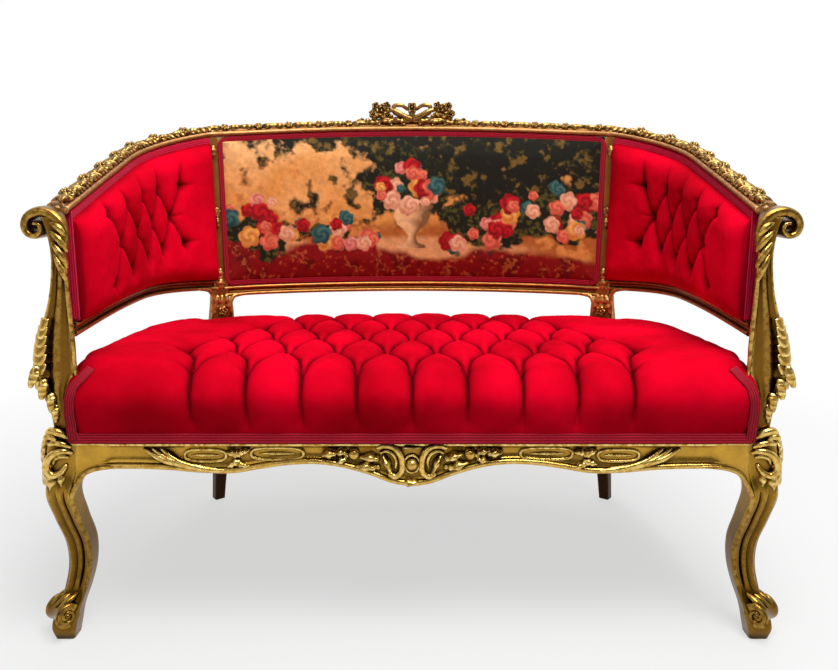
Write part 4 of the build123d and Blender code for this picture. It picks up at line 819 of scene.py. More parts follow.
def arm_garland(side):
    """Carved arm: a close row of slanting lobes over the top of the rail, broken now and then by a flower
    between two leaves."""
    stock = Stock(side)
    draw = np.random.default_rng(5)
    t = np.linspace(-1.0, 1.0, 14)[:, None]
    for index, run in enumerate(np.arange(STILE_RUN + 8.0, LEG_RUN - 26.0, 12.5)):
        place, heading, up, outward = rail_frame(run, 1.0, 0.0)
        size = 1.0 + 0.12 * draw.uniform(-1, 1)
        if index % 6 == 4:
            stock.put(rose(15.0, 14.0), place - 2.0 * outward, heading, up - 0.5 * outward)
            for way in (-1, 1):
                stock.put(leaf(30.0, 18.0, 9.0, 3, 0.0, 0.1, 14, 10),
                          place + 8.0 * way * heading - 4.0 * outward,
                          way * heading - 0.2 * outward, up - 0.6 * outward)
            continue
        path = place + outward * 15.5 * t + heading * (8.0 * t + 3.0 * t**2) + up * (1.5 - 6.5 * t**2)
        stock.grid(tube(path, 6.6 * size * taper(14, 0.35, 0.35, 0.5), up, 9, 1.0, 0.85))
    stock.make("arm_garland", AGED_GOLD)


def crest_garland(side):
    """Carved crest: buds at even steps with a pair of long leaves lying along the rail between them."""
    stock = Stock(side)
    draw = np.random.default_rng(9)
    for run in np.linspace(150.0, STILE_RUN - 30.0, 5):
        place, heading, up, outward = rail_frame(run, -3.0, -1.0)
        face = up - 0.7 * outward
        stock.put(rose(11.5, 12.0), place, heading, face)
        stock.put(dome(6.5, 8.0), place + 4.0 * up, heading, face)
        for way in (-1, 1):
            size = 1.0 + 0.1 * draw.uniform(-1, 1)
            stock.put(leaf(40.0 * size, 19.0, 8.0, 3, 0.02, 0.06 * way, 18, 12),
                      place + 7.0 * way * heading - 1.0 * outward, way * heading, face)
            stock.put(leaf(30.0 * size, 14.0, 7.0, 2, 0.05, 0.0, 16, 10),
                      place + 6.0 * way * heading + 10.0 * outward, way * heading + 0.25 * outward, up)
    stock.make("crest_garland", AGED_GOLD)


# Bow on the crest: knots as x, z, radius and rise, ribbons as count, radius, end values, height and points
BOW_KNOTS = [(74, 32, 22.0, 15.0), (62, 46, 11.0, 15.0), (88, 45, 11.0, 14.0), (94, 26, 12.0, 13.0),
             (60, 22, 11.0, 13.0)]
BOW_RIBBONS = [
    (34, 7.0, (0.5, 0.3), 0.6, [(64, 38, 4), (42, 33, 9), (18, 20, 10), (-10, 10, 8), (-38, 3, 5)]),
    (34, 5.4, (0.6, 0.5), 0.65, [(10, 36, 4), (26, 47, 7), (44, 44, 7), (42, 29, 5), (24, 21, 3)]),
    (30, 7.0, (0.5, 0.2), 0.7, [(4, 15, 6), (32, 8, 10), (66, 11, 10), (102, 3, 5)])]


def crest_ornament():
    """Bow on the crest: two knots of petals joined by crossing ribbons below a middle flower, on a long row
    of leaves that ends in buds."""
    stock = Stock()
    base = rail_frame(0.0, 4.0, -2.0)[0]
    front = np.array([0.0, -1.0, 0.12])

    def spot(x, z, out=0.0):
        """Place on the bow's face."""
        return base + np.array([x, -out, z])

    for face in (1, -1):
        stock.put(rose(15.0, 15.0, 6), spot(0, 41, 2 * face), ACROSS, face * front)
    for side in (-1, 1):
        for face in (1, -1):
            for x, z, radius, rise in BOW_KNOTS:
                stock.put(rose(radius, rise), spot(side * x, z, 3 * face), ACROSS, face * front)
        for turn in (-40, 0, 45):
            angle = math.radians(90 - side * 90) + side * math.radians(turn)
            way = np.array([math.cos(angle), 0.0, math.sin(angle)])
            place = spot(side * 76, 30, 2) + way * 12.0
            stock.put(leaf(18.0, 17.0, 7.0, 2, 0.1, 0.0, 12, 10), place, way, front)
        for count, radius, swell, tall, points in BOW_RIBBONS:
            ribbon = [spot(side * x, z, out) for x, z, out in points]
            stock.cord(ribbon, count, radius, swell, front, tall=tall)
        for x, length, tilt in ((12, 38, 0.2), (40, 42, 0.08), (72, 40, -0.05), (96, 34, -0.12)):
            for face in (1, -1):
                stock.put(leaf(length, 21.0, 9.0, 3, 0.06, 0.0, 16, 12), spot(side * x, 5, 7 * face),
                          [side, 0.0, tilt], face * front)
        for face in (1, -1):
            stock.put(rose(13.0, 12.0), spot(side * 124, 5, 2 * face), ACROSS, face * front)
        for x, z, radius in ((20, 0, 6.0), (50, -2, 6.0), (80, -1, 6.0), (108, 9, 7.0), (50, 20, 5.5)):
            stock.put(dome(radius, radius * 1.2, 6, 12), spot(side * x, z, 11), ACROSS, front)
    core = [spot(x, z) for x, z in ((-128, 2), (-64, 8), (0, 13), (64, 8), (128, 2))]
    stock.cord(core, 60, 10.0, (0.35, 0.35, 0.4), front, 14)
    stock.grid(tube(np.linspace(spot(0, 6), spot(0, 40), 8), 8.0, front))
    stock.make("crest_ornament", AGED_GOLD)


# Carving on the front rail: scrolls as x, z and way out, leaves as x, z, way, tilt, length and width, and
# the wrapping leaf as x, z, climb and way out
CARTOUCHE_SCROLL = [(58, 332, 2), (46, 337, 4), (31, 335, 5), (20, 324, 6), (16, 308, 6), (18, 293, 6),
                    (28, 286, 5), (37, 291, 4)]
CARTOUCHE_INNER = [(53, 324, 1), (42, 328, 3), (32, 324, 4), (26, 312, 4), (27, 299, 3)]
SPRAY_LEAVES = [(52, 314, 0.22, 36, 16), (58, 299, 0.22, 38, 17), (106, 326, 0.12, 24, 15),
                (106, 317, -0.35, 22, 14), (122, 325, -0.05, 28, 17)]
KNOT_LEAVES = [(280, 320, 1, 0.35, 26, 16), (280, 312, 1, -0.35, 26, 15), (286, 324, -1, 0.2, 22, 14),
               (290, 308, -1, -0.3, 26, 13)]
WRAP_LEAF = [(300, 295, 0.15, 4), (345, 299, 0.25, 5), (384, 312, 0.15, 5), (412, 332, 0.0, 1)]


def apron_spot(x, z, out=0.0):
    """Place on the front rail's face."""
    return np.array([x, RAIL_FRONT - out, z])


def apron_cartouche():
    """Round boss in a ring between two C-scrolls that open outwards, each with a leaf in its mouth, with a
    bar above and a lozenge below."""
    stock = Stock()
    stock.put(dome(10.5, 12.0, 8, 22), apron_spot(0, 306, 1), ACROSS, FRONT)
    angle = np.linspace(0.0, 2 * np.pi, 41)
    ring = points_of(12.5 * np.cos(angle), RAIL_FRONT - 1.0, 306 + 14.5 * np.sin(angle))
    stock.grid(tube(ring, 2.4, FRONT, 8))
    stock.put(leaf(26.0, 19.0, 10.0, 1), apron_spot(-13, 276, 2), ACROSS, FRONT)
    stock.put(leaf(32.0, 11.0, 8.0, 1), apron_spot(-16, 335, 0), ACROSS, FRONT)
    for side in (-1, 1):
        scroll = [apron_spot(side * x, z, out) for x, z, out in CARTOUCHE_SCROLL]
        stock.cord(scroll, 60, 5.0, (0.5, 0.8, 0.4), FRONT, tall=0.8)
        inner = [apron_spot(side * x, z, out) for x, z, out in CARTOUCHE_INNER]
        stock.cord(inner, 40, 3.0, (0.4, 0.5, 0.4), FRONT, 9)
        stock.put(leaf(34.0, 15.0, 10.0, 2), apron_spot(side * 34, 293, 1), [side * 0.42, 0, 0.9], FRONT)
        stock.put(dome(5.5, 6.0), apron_spot(side * 35, 290, 4), ACROSS, FRONT)
    stock.make("apron_cartouche", GOLD)


def apron_sprays():
    """Leaf sprays on the front rail: leaves and buds by the cartouche, framed flutes, a knot of leaves, and
    long leaves that wrap up from the lower bead."""
    stock = Stock()
    angle = np.linspace(0.0, 2 * np.pi, 61)
    for side in (-1, 1):
        for x, z, tilt, length, width in SPRAY_LEAVES:
            stock.put(leaf(length, 1.2 * width, 10.0, 2, 0.05, 0.1, 18, 12), apron_spot(side * x, z, -1),
                      [side, 0, tilt], FRONT)
        stock.put(dome(10.0, 10.0, 7, 16), apron_spot(side * 95, 323, 0), ACROSS, FRONT)
        for x, z in ((56, 301), (107, 321)):
            stock.put(dome(5.0, 5.5), apron_spot(side * x, z, 0), ACROSS, FRONT)
        for middle, half, level in ((221.0, 43.0, 323.0), (339.0, 34.0, 320.0)):
            round_x = signed_power(np.cos(angle), 0.6)
            round_z = signed_power(np.sin(angle), 0.8)
            path = points_of(side * (middle + half * round_x), RAIL_FRONT + 0.5, level + 10.0 * round_z)
            stock.grid(tube(path, 2.8, FRONT, 8))
            bar = side * np.linspace(middle - half * 0.7, middle + half * 0.7, 20)
            stock.grid(tube(points_of(bar, RAIL_FRONT + 1.5, level), 3.0 * taper(20), FRONT, 8))
        for x, z, way, tilt, length, width in KNOT_LEAVES:
            stock.put(leaf(length, width, 7.5, 3, 0.1, 0.1, 16, 10), apron_spot(side * x, z, -1),
                      [side * way, 0, tilt], FRONT)
        for shift in (0.0, 14.0, 28.0):
            wrap = [apron_spot(side * (x + shift), z + climb * shift, out) for x, z, climb, out in WRAP_LEAF]
            stock.cord(wrap, 34, 5.4, (0.2, 0.3), FRONT, 9, tall=0.7)
    stock.make("apron_sprays", GOLD)


# Carving on the legs, posts and stiles: strokes as a radius and x, z and way out, knee leaves as x, z, way,
# length and width, scales as z and width, and husk leaves as z, y, length, width, way and way out
KNEE_STROKES = [(6.5, [(27, 352, 1), (18, 363, 5), (5, 361, 6), (-11, 350, 1)]),
                (5.0, [(29, 344, 0), (25, 353, 5), (15, 352, 5), (11, 344, 3)]),
                (5.0, [(24, 338, 1), (12, 342, 4), (-2, 340, 4), (-13, 334, 1)]),
                (6.5, [(-16, 324, 0), (-3, 329, 5), (12, 326, 7), (24, 313, 7), (26, 298, 6), (17, 289, 5),
                       (4, 293, 4), (-5, 306, 1)]),
                (4.0, [(-9, 317, 1), (3, 320, 4), (13, 315, 4), (17, 305, 2)])]
KNEE_LEAVES = [(20, 292, 0.08, 34, 20), (6, 294, -0.12, 28, 16), (27, 318, 0.0, 34, 18)]
HUSK_SCALES = [(462, 30), (478, 30), (493, 28), (508, 25), (522, 21), (535, 17)]
HUSK_LEAVES = [(466, -29, 40, 24, 0.25, 4.0), (460, -8, 42, 22, 0.2, 5.0), (444, -29, 36, 20, 0.05, 0.0),
               (438, -10, 40, 18, 0.0, 2.0), (420, -27, 34, 17, -0.1, -2.0), (400, -24, 32, 14, -0.1, -2.0)]


def knee_acanthus(side):
    """Acanthus on the knee: a leaf turned over at the top, a leaf curled round a hollow below it and a short
    drop of leaves, with longer leaves on the outer side."""
    stock = Stock(side)

    def spot(x, z, out=0.0):
        """Place on the face of the knee."""
        return [LEG_X + x, LEG_Y - leg_face(min(z, RAIL_TOP)) - out, z]

    for radius, points in KNEE_STROKES:
        stock.cord([spot(*point) for point in points], 40, radius, (0.25, 0.35, 0.5), FRONT, 11, tall=0.85)
    for x, z, way, length, width in KNEE_LEAVES:
        stock.put(leaf(length, width, 7.5, 2, 0.04, 0.0, 18, 12), spot(x, z), [way, 0.05, -1.0], FRONT)
    for z, y, length, width in ((346, -12, 46, 28), (330, 6, 50, 26), (308, -10, 46, 24)):
        stock.put(leaf(length, width, 8.0, 3, 0.1, 0.0, 22, 12), [LEG_X + 30.5, LEG_Y + y, z],
                  [0.05, -0.1, -1.0], ACROSS)
    stock.make("knee_acanthus", GOLD)


def post_acanthus(side):
    """Husk on the outer edge of the arm post: blunt lapping scales that point down, ending in small
    leaves."""
    stock = Stock(side)
    for z, width in HUSK_SCALES:
        outer = LEG_X + arm_outer(z)
        for y, face in ((ARM_FRONT + 1.0, [0.45, -1.0, 0.3]), (ARM_FRONT + 24.0, [1.0, -0.1, 0.3])):
            stock.put(scale(23.0, width, 7.0), [outer - 8.0 + 0.25 * (y - ARM_FRONT), y, z + 13.0],
                      [0.16, -0.06, -1.0], face)
    for z, y, length, width, way, out in HUSK_LEAVES:
        outer = LEG_X + arm_outer(z - 12.0) + out
        stock.put(leaf(length, width, 8.0, 3, 0.1, 0.0, 18, 12), [outer - 9.0, LEG_Y + y, z + 6.0],
                  [way, 0.0, -1.0], [0.6, -1.0, 0.1])
    stock.make("post_acanthus", GOLD)


def stile_carvings():
    """Husks and flowers down the front of both stiles, and leaves that flare at the foot of each."""
    stock = Stock()
    for side in (-1, 1):
        run = side * STILE_RUN
        along, outward = directions(run)
        for z, length, width in ((842, 34, 18), (700, 30, 14), (676, 28, 12), (560, 34, 18), (536, 30, 22)):
            stock.put(leaf(length, width, 6.0, 3, 0.05, 0.0, 16, 10), back_points(run, -13.5, float(z)),
                      [0.0, 0.03, -1.0], -outward)
        for z, radius in ((690.0, 9.0), (461.0, 13.0)):
            stock.put(rose(radius, 8.0), back_points(run, -14.0, z), along, -outward)
        for way in (-1, 1):
            reach = run + way * np.array([62.0, 44.0, 30.0, 22.5, 22.5, 25.0])
            drop = np.array([4.0, 3.5, 0.5, -10.0, -28.0, -52.0])
            line = back_points(reach, -13.0, lower_underside(reach) + drop)
            stock.cord(line, 60, 5.2, (0.3, 0.4, 0.4), -outward)
        for tilt in (-0.75, 0.0, 0.75):
            stock.put(leaf(58.0, 20.0, 6.5, 4, 0.06, 0.12 * tilt, 20, 10),
                      back_points(run, -14.0, 500.0) + along * 12.0 * tilt, 0.3 * tilt * along - UP, -outward)
    stock.make("stile_carvings", COPPER_GOLD)


for side in (1, -1):
    front_leg(side)
    arm_post(side)
    back_post(side)
    knee_acanthus(side)
    post_acanthus(side)
    seat_rail("side_rail", STILE_RUN + 20.0, LEG_RUN - 20.0, side)
    back_rail_run("arm_rail", STILE_RUN, LEG_RUN - 8.0, TOP_PROFILE, top_underside, PALE_GOLD, side)
    back_rail_run("lower_wing_rail", STILE_RUN + 8.0, LEG_RUN - 14.0, LOWER_PROFILE, lower_underside,
                  COPPER_GOLD, side)
    arm_garland(side)
    crest_garland(side)
front_rail()
seat_rail("back_rail", -STILE_RUN + 20.0, STILE_RUN - 20.0)
back_rail_run("crest_rail", -STILE_RUN, STILE_RUN, TOP_PROFILE, top_underside, PALE_GOLD)
back_rail_run("lower_back_rail", -STILE_RUN + 8.0, STILE_RUN - 8.0, LOWER_PROFILE, lower_underside,
              COPPER_GOLD)
crest_ornament()
apron_cartouche()
apron_sprays()
stile_carvings()


# Tufting
def fold_depth(a, b, folds, reach, soft=1.6):
    """Depth of the folds at flat places a, b, and how far the cloth there is drawn towards them: each fold
    is a straight line whose depth runs through three values, and away from it the stuffing rises as a
    quarter circle over a reach. The folds join as a soft maximum."""
    total = np.zeros_like(a)
    drawn = np.zeros((*a.shape, 2))
    peak = 1.0 - np.sqrt(1.0 - (1.0 - soft / reach) ** 2)
    for a0, b0, a1, b1, first, middle, last in folds:
        da, db = a1 - a0, b1 - b0
        t = np.clip(((a - a0) * da + (b - b0) * db) / (da * da + db * db), 0.0, 1.0)
        way = np.stack([a0 + t * da - a, b0 + t * db - b], axis=-1)
        gap = np.hypot(way[..., 0], way[..., 1])
        wall = 1.0 - np.sqrt(1.0 - (1.0 - np.minimum(np.hypot(gap, soft) / reach, 1.0)) ** 2)
        depth = first * (1 - t) * (1 - 2 * t) + 4 * middle * t * (1 - t) + last * t * (2 * t - 1)
        depth = np.maximum(depth, 0.0)
        share = (depth * wall / peak) ** 6
        total += share
        drawn += way * (share * 0.7 * hump(gap, 0.0, 0.3 * reach) * np.minimum(depth / 16.0, 1.0))[..., None]
    return total ** (1.0 / 6.0), drawn / (total + 1e-9)[..., None]


def gather(points, pull):
    """Grid points moved along their own surface by a pull given in its flat places."""
    along_a, along_b = unit(np.gradient(points, axis=0)), unit(np.gradient(points, axis=1))
    return points + along_a * pull[..., :1] + along_b * pull[..., 1:]


def lattice_folds(rows, pitch, deep, shallow, bow=0.0):
    """Folds between the buttons of neighbouring rows, from each button to the nearest on either hand. Each
    is laid in two straight parts, bowed sideways in its middle so that the nearer pad is the rounder."""
    folds = []
    quarter = 0.25 * deep + 0.75 * shallow
    for (level, places), (next_level, next_places) in zip(rows, rows[1:]):
        for place in places:
            for other in next_places:
                if abs(abs(place - other) - pitch / 2) < 1.0:
                    half = (place + other) / 2 + bow * np.sign(place - other), (level + next_level) / 2
                    folds.append((place, level, *half, deep, quarter, shallow))
                    folds.append((*half, other, next_level, shallow, quarter, deep))
    return folds


def end_folds(rows, stretches, rise, first, middle):
    """Folds from the outermost buttons of each row towards the ends of the pad."""
    return [(end * places.max(), level, end * places.max() + end * stretch, level + rise, first, middle, 0.0)
            for (level, places), stretch in zip(rows, stretches) for end in (-1, 1)]


def pits(a, b, rows, depth, radius):
    """Round pits under the buttons."""
    total = np.zeros_like(a)
    for level, places in rows:
        for place in places:
            total = np.maximum(total, depth * np.exp(-(((a - place) ** 2 + (b - level) ** 2) / radius**2)))
    return total


def cloud(a, b, size, seed):
    """Smooth random field between -1 and 1: random values on a square lattice joined by smooth steps."""
    table = np.random.default_rng(seed).uniform(-1.0, 1.0, (64, 64))
    p, q = a / size + 100.0, b / size + 100.0
    i, j = np.floor(p).astype(int), np.floor(q).astype(int)
    s, t = ease(0.0, 1.0, p - i), ease(0.0, 1.0, q - j)
    low = table[i % 64, j % 64] * (1 - s) + table[(i + 1) % 64, j % 64] * s
    high = table[i % 64, (j + 1) % 64] * (1 - s) + table[(i + 1) % 64, (j + 1) % 64] * s
    return low * (1 - t) + high * t


def grid_normals(points, facing):
    """Unit normals of a grid of points, turned to the given way."""
    normal = unit(np.cross(np.gradient(points, axis=0), np.gradient(points, axis=1)))
    return normal * np.sign(np.sum(normal * np.asarray(facing), axis=(0, 1, 2)))


# Seat
SEAT_PITCH = 92.0
SEAT_ROWS = [(level, np.arange(-reach, reach + 1, 2) * SEAT_PITCH / 2)
             for level, reach in ((48.0, 8), (174.0, 9), (304.0, 8), (430.0, 7), (550.0, 6))]
SEAT_TOP = 458.0
SEAT_SLOPE = 0.041
SLOPE_START = 80.0
END_RISE = 13.0
SEAT_BELLY = 13.0
SEAT_SWELL = 9.0
BUTTON_SINK = 30.0
FOLD_SINK = 19.0
FOLD_BOW = 9.0
FOLD_REACH = 36.0
PLEAT_REACH = 46.0
PLEAT_SOFT = 3.2
SEAT_FACING = (0.0, -0.4, 1.0)
SEAT_SPARE = 4.0
TOP_COLUMNS = 340
TOP_ROWS = 190
FRONT_WALL = 64.0
FRONT_ROLL = 46.0
FRONT_ARC = 22
SIDE_WALL = 90.0
SIDE_ROLL = 20.0
BACK_WALL = 76.0
BACK_ROLL = 30.0


def past_post(y):
    """Share by which the seat's side may stand out, from 0 at the arm post to 1 behind it."""
    return ease(LEG_Y + 24.0, LEG_Y + 75.0, y)


def seat_back(x):
    """Depth of the seat's back edge at a place across it, drawn in round each back post."""
    reach = np.minimum(np.abs(x), CORNER_X + CORNER_RADIUS + SEAT_SPARE)
    on_back = reach <= (BACK_RADIUS + SEAT_SPARE) * math.sin(BACK_TURN)
    back = np.sqrt((BACK_RADIUS + SEAT_SPARE) ** 2 - reach**2) - BACK_RADIUS
    bend = np.sqrt(np.maximum((CORNER_RADIUS + SEAT_SPARE) ** 2 - (reach - CORNER_X) ** 2, 0.0))
    post = 30.0 * np.exp(-(((np.abs(x) - plan(STILE_RUN, 0.0)[0]) / 30.0) ** 4))
    return np.where(on_back, back, CORNER_Y + bend) + ROW_Y - post


def roll_path(wall, radius, count_wall, count_arc):
    """Edge of a stuffed pad: up a wall and round a quarter circle, as inset from the edge, share of the
    height and length along the edge."""
    w = np.linspace(0.0, 1.0, count_wall, endpoint=False)
    turn = np.linspace(0.0, 0.5 * np.pi, count_arc, endpoint=False)
    inset = np.concatenate([0 * w, radius * (1 - np.cos(turn))])
    drop = np.concatenate([radius + wall * (1 - w), radius * (1 - np.sin(turn))])
    length = np.concatenate([wall * w, wall + radius * turn])
    return inset, 1 - drop / (wall + radius), length


def seat_cover():
    """Tufted seat: a rounded box over the seat's plan whose top is drawn down along folds between buttons,
    with pleats from the first row down the front and from the last row to the back."""
    half = SEAT_HALF + 6.0
    side_in, side_rise = roll_path(SIDE_WALL, SIDE_ROLL, 8, 12)[:2]
    front_in, front_rise, front_length = roll_path(FRONT_WALL, FRONT_ROLL, 26, FRONT_ARC)
    back_in, back_rise = roll_path(BACK_WALL, BACK_ROLL, 6, 8)[:2]
    middle = np.linspace(-half + SIDE_ROLL, half - SIDE_ROLL, TOP_COLUMNS)
    x = np.concatenate([-half + side_in, middle, half - side_in[::-1]])[:, None]
    rise_u = np.concatenate([side_rise, np.ones(TOP_COLUMNS), side_rise[::-1]])[:, None]
    rise_v = np.concatenate([front_rise, np.ones(TOP_ROWS), back_rise[::-1]])[None]
    depth = seat_back(x) - SEAT_FRONT
    across = FRONT_ROLL + (depth - FRONT_ROLL - BACK_ROLL) * np.linspace(0.0, 1.0, TOP_ROWS)
    inset = np.concatenate([front_in + 0 * depth, across, depth - back_in[::-1]], axis=1)
    fall = SEAT_SLOPE * np.maximum(inset - SLOPE_START, 0.0)
    top = SEAT_TOP - fall + END_RISE * (np.abs(x) / half) ** 4
    belly = SEAT_BELLY * np.sin(np.pi * np.clip(rise_v / 0.96, 0.0, 1.0) ** 1.25)
    belly = belly * (inset < FRONT_ROLL) * rise_u
    points = points_of(x, SEAT_FRONT + inset - belly, SEAT_BOTTOM + (top - SEAT_BOTTOM) * rise_u * rise_v)
    side_x, side_y = plan(np.linspace(STILE_RUN + 40.0, LEG_RUN, 80), 5.0)[:2]
    spare = np.maximum(np.interp(points[..., 1], side_y[::-1], side_x[::-1]) - half, 0.0)
    spare *= past_post(points[..., 1])
    points[..., 0] += np.sign(x) * spare * ease(0.8, 1.0, np.abs(x) / half)
    shift = front_length[-1] + FRONT_ROLL * 0.5 * np.pi / FRONT_ARC - FRONT_ROLL
    flat = np.concatenate([front_length + 0 * depth, shift + inset[:, len(front_length):]], axis=1)
    a = x + 0 * flat
    rows = [(shift + level, places) for level, places in SEAT_ROWS]
    first, last = rows[0], rows[-1]
    folds = lattice_folds(rows, SEAT_PITCH, BUTTON_SINK, FOLD_SINK, FOLD_BOW)
    folds += [(p, last[0], 1.02 * p, last[0] + 96.0, 22.0, 10.0, 3.0) for p in last[1]]
    folds += end_folds(rows, (62.0, 40.0, 60.0, 62.0, 62.0), 10.0, 24.0, 7.0)
    pleats = [(p, first[0], 0.96 * p, 14.0, BUTTON_SINK, 21.0, 1.0) for p in first[1]]
    normal = grid_normals(points, SEAT_FACING)
    sink, pull = fold_depth(a, flat, folds, FOLD_REACH)
    pleat_sink, pleat_pull = fold_depth(a, flat, pleats, PLEAT_REACH, PLEAT_SOFT)
    pull = np.where((pleat_sink > sink)[..., None], pleat_pull, pull)
    sink = np.maximum(sink, pleat_sink) + pits(a, flat, rows, 10.0, 11.0)
    crumple = 0.9 * cloud(a, flat, 38.0, 3) + 0.4 * cloud(a, flat, 13.0, 4)
    swell = SEAT_SWELL * ease(10.0, 80.0, flat) * ease(0.0, 60.0, depth - inset)
    swell = swell * ease(-20.0, 60.0, half - np.abs(a))
    edge = ease(6.0, 34.0, flat) * rise_u
    points = gather(points, pull * edge[..., None]) + normal * ((swell + crumple - sink) * edge)[..., None]
    stock = Stock()
    stock.grid(points, SEAT_FACING)
    piece = stock.make("seat_cover", VELVET, merge=False, more=("seat_foam", "seat_hessian"))

    def on_cover(place, level):
        """Point and normal on the cover at a place across it and a length up from its front foot."""
        i = np.abs(x[:, 0] - place).argmin()
        j = np.abs(flat[i] - level).argmin()
        return points[i, j], normal[i, j]

    return on_cover, [on_cover(p, level) for level, places in rows for p in places]


def buttons(node, seats, side=0, radius=6.5, rise=4.5):
    """Covered buttons: low domes with a rolled rim, set into the pits along the cover's normals."""
    stock = Stock(side)
    turned = np.array([[1.0, 0.0], [1.0, 0.25], [0.93, 0.55], [0.72, 0.85], [0.4, 1.0], [0.0, 1.04]])
    angle = circle(16)
    reach = radius * turned[:, :1]
    shape = points_of(reach * np.cos(angle), reach * np.sin(angle), rise * turned[:, 1:])
    for point, normal in seats:
        stock.put(shape, point + normal * 1.5, np.cross([0.0, 0.31, 0.95], normal), normal)
    stock.make(node, VELVET)


# Wings
WING_START = STILE_RUN + 7.0
WING_END = LEG_RUN - 23.0
WING_MIDDLE = (WING_START + WING_END) / 2
WING_PITCH = 80.0
WING_EDGE = 12.5
WING_PAD = 36.0
WING_BUTTON_SINK = 19.0
WING_FOLD_SINK = 11.0
WING_FOLD_REACH = 33.0
PAD_BACK = 6.0
WING_ROWS = [(level, np.arange(-reach, reach + 1, 2) * WING_PITCH / 2)
             for level, reach in ((62.0, 4), (0.0, 3), (-62.0, 4))]


def pad_edge(distance, radius):
    """Rise of a pad from its edge: a quarter circle over a radius."""
    t = np.clip(distance / radius, 0.0, 1.0)
    return np.sqrt(1.0 - (1.0 - t) ** 2)


def panel(start, end, columns, rows):
    """Grid between two runs and between the rails of the back: runs, shares of the height, heights, and the
    heights of the lower and upper edges."""
    run = np.linspace(start, end, columns)[:, None]
    share = np.linspace(0.0, 1.0, rows)[None]
    bottom = lower_underside(run) + LOWER_RAIL_RISE + 0.5
    top = top_underside(run) - 0.5
    return run, share, bottom + (top - bottom) * share, bottom, top


def wing_cover(side):
    """Tufted wing: a pad on the leaning back between the rails whose depth rises from its edges, drawn back
    along folds between three rows of buttons, with a flat margin for the braid along its top."""
    run, share, height, bottom, top = panel(WING_START, WING_END, 210, 130)
    a = run - WING_MIDDLE + 0 * share
    b = height - (bottom + top) / 2
    rise = pad_edge(run - WING_START + 2.0, 42.0) * pad_edge(WING_END - run + 4.0, 40.0)
    rise = rise * pad_edge(height - bottom + 2.0, 40.0) * pad_edge(top - height - 14.0, 42.0)
    high, low = WING_ROWS[0], WING_ROWS[-1]
    folds = lattice_folds(WING_ROWS, WING_PITCH, WING_BUTTON_SINK, WING_FOLD_SINK)
    folds += [(p, high[0], 1.05 * p, high[0] + 66.0, 18.0, 10.0, 3.0) for p in high[1]]
    folds += [(p, low[0], 1.03 * p, low[0] - 44.0, 18.0, 5.0, 0.0) for p in low[1]]
    folds += end_folds(WING_ROWS, (46.0, 46.0, 46.0), 0.0, 18.0, 5.0)
    sink, pull = fold_depth(a, b, folds, WING_FOLD_REACH)
    sink = (sink + pits(a, b, WING_ROWS, 8.0, 9.0)) * rise
    crumple = (0.8 * cloud(a, b, 34.0, 13) + 0.4 * cloud(a, b, 12.0, 14)) * rise
    depth = WING_EDGE + WING_PAD * rise - sink + crumple
    points = back_points(run + 0.7 * pull[..., 0] * rise, -depth, height + 0.7 * pull[..., 1] * rise)
    behind = back_points(run, PAD_BACK, height[:, ::-26])
    stock = Stock(side)
    stock.grid(np.concatenate([points, behind], axis=1))
    piece = stock.make("wing_cover", VELVET, sharp=60, merge=False,
                       more=("wing_foam", "wing_webbing"))
    seats = []
    for level, places in WING_ROWS:
        for p in places:
            i = np.abs(a[:, 0] - p).argmin()
            j = np.abs(b[i] - level).argmin()
            seats.append((points[i, j], -directions(run[i, 0])[1]))
    buttons("wing_buttons", seats, side, 6.0, 4.0)


# Printed flowers of the centre back, in print units from the middle: banks and beds as centre, level, half
# width and half height, with a bed's count of blooms
PRINT_UNIT = 170.0
BANKS = [(-2.1, -0.34, 0.55, 0.26), (-1.15, -0.42, 0.40, 0.22), (0.95, -0.38, 0.50, 0.28),
         (2.0, -0.18, 0.72, 0.36), (0.0, 0.20, 0.62, 0.42)]
URN_HEIGHTS = [-0.62, -0.58, -0.54, -0.44, -0.36, -0.28, -0.16, -0.08, -0.05, 0.0]
URN_HALVES = [0.20, 0.20, 0.09, 0.06, 0.12, 0.22, 0.27, 0.25, 0.31, 0.31]
BEDS = [(-2.1, -0.20, 0.62, 0.34, 20), (-1.15, -0.34, 0.36, 0.22, 11), (0.0, 0.24, 0.50, 0.30, 22),
        (0.95, -0.30, 0.44, 0.24, 13), (2.0, -0.12, 0.70, 0.40, 24), (-0.6, -0.52, 0.3, 0.08, 6),
        (0.5, -0.55, 0.3, 0.07, 6)]
BLOOM_TINTS = [((206, 32, 44), (104, 4, 16)), ((240, 150, 122), (190, 62, 54)),
               ((250, 226, 196), (206, 138, 104)), ((240, 188, 176), (200, 84, 92)),
               ((70, 136, 140), (16, 56, 66)), ((248, 214, 120), (196, 116, 36))]
BLOOM_ODDS = [0.24, 0.22, 0.2, 0.14, 0.1, 0.1]


def soft_disc(x, y, centre_x, centre_y, radius_x, radius_y, soft):
    """Share of an ellipse covering each place, soft at its rim."""
    away = np.hypot((x - centre_x) / radius_x, (y - centre_y) / radius_y)
    return ease(1.0 + soft, 1.0 - soft, away)


def paint_over(picture, share, colour):
    """Colour laid over the picture by a share."""
    return picture * (1 - share[..., None]) + np.asarray(colour)[..., :3] * share[..., None]


def foliage(a, b, size, seed):
    """Leafy random field: clouds of falling size added up, each turned by its own angle, about -1 to 1."""
    total = np.zeros_like(a)
    for level, turn in enumerate((0.4, 1.3, 2.1, 2.8)):
        across = a * math.cos(turn) + b * math.sin(turn)
        along = b * math.cos(turn) - a * math.sin(turn)
        total += cloud(across, along, size / 1.9**level, seed + level) * 0.62**level
    return total / 1.4


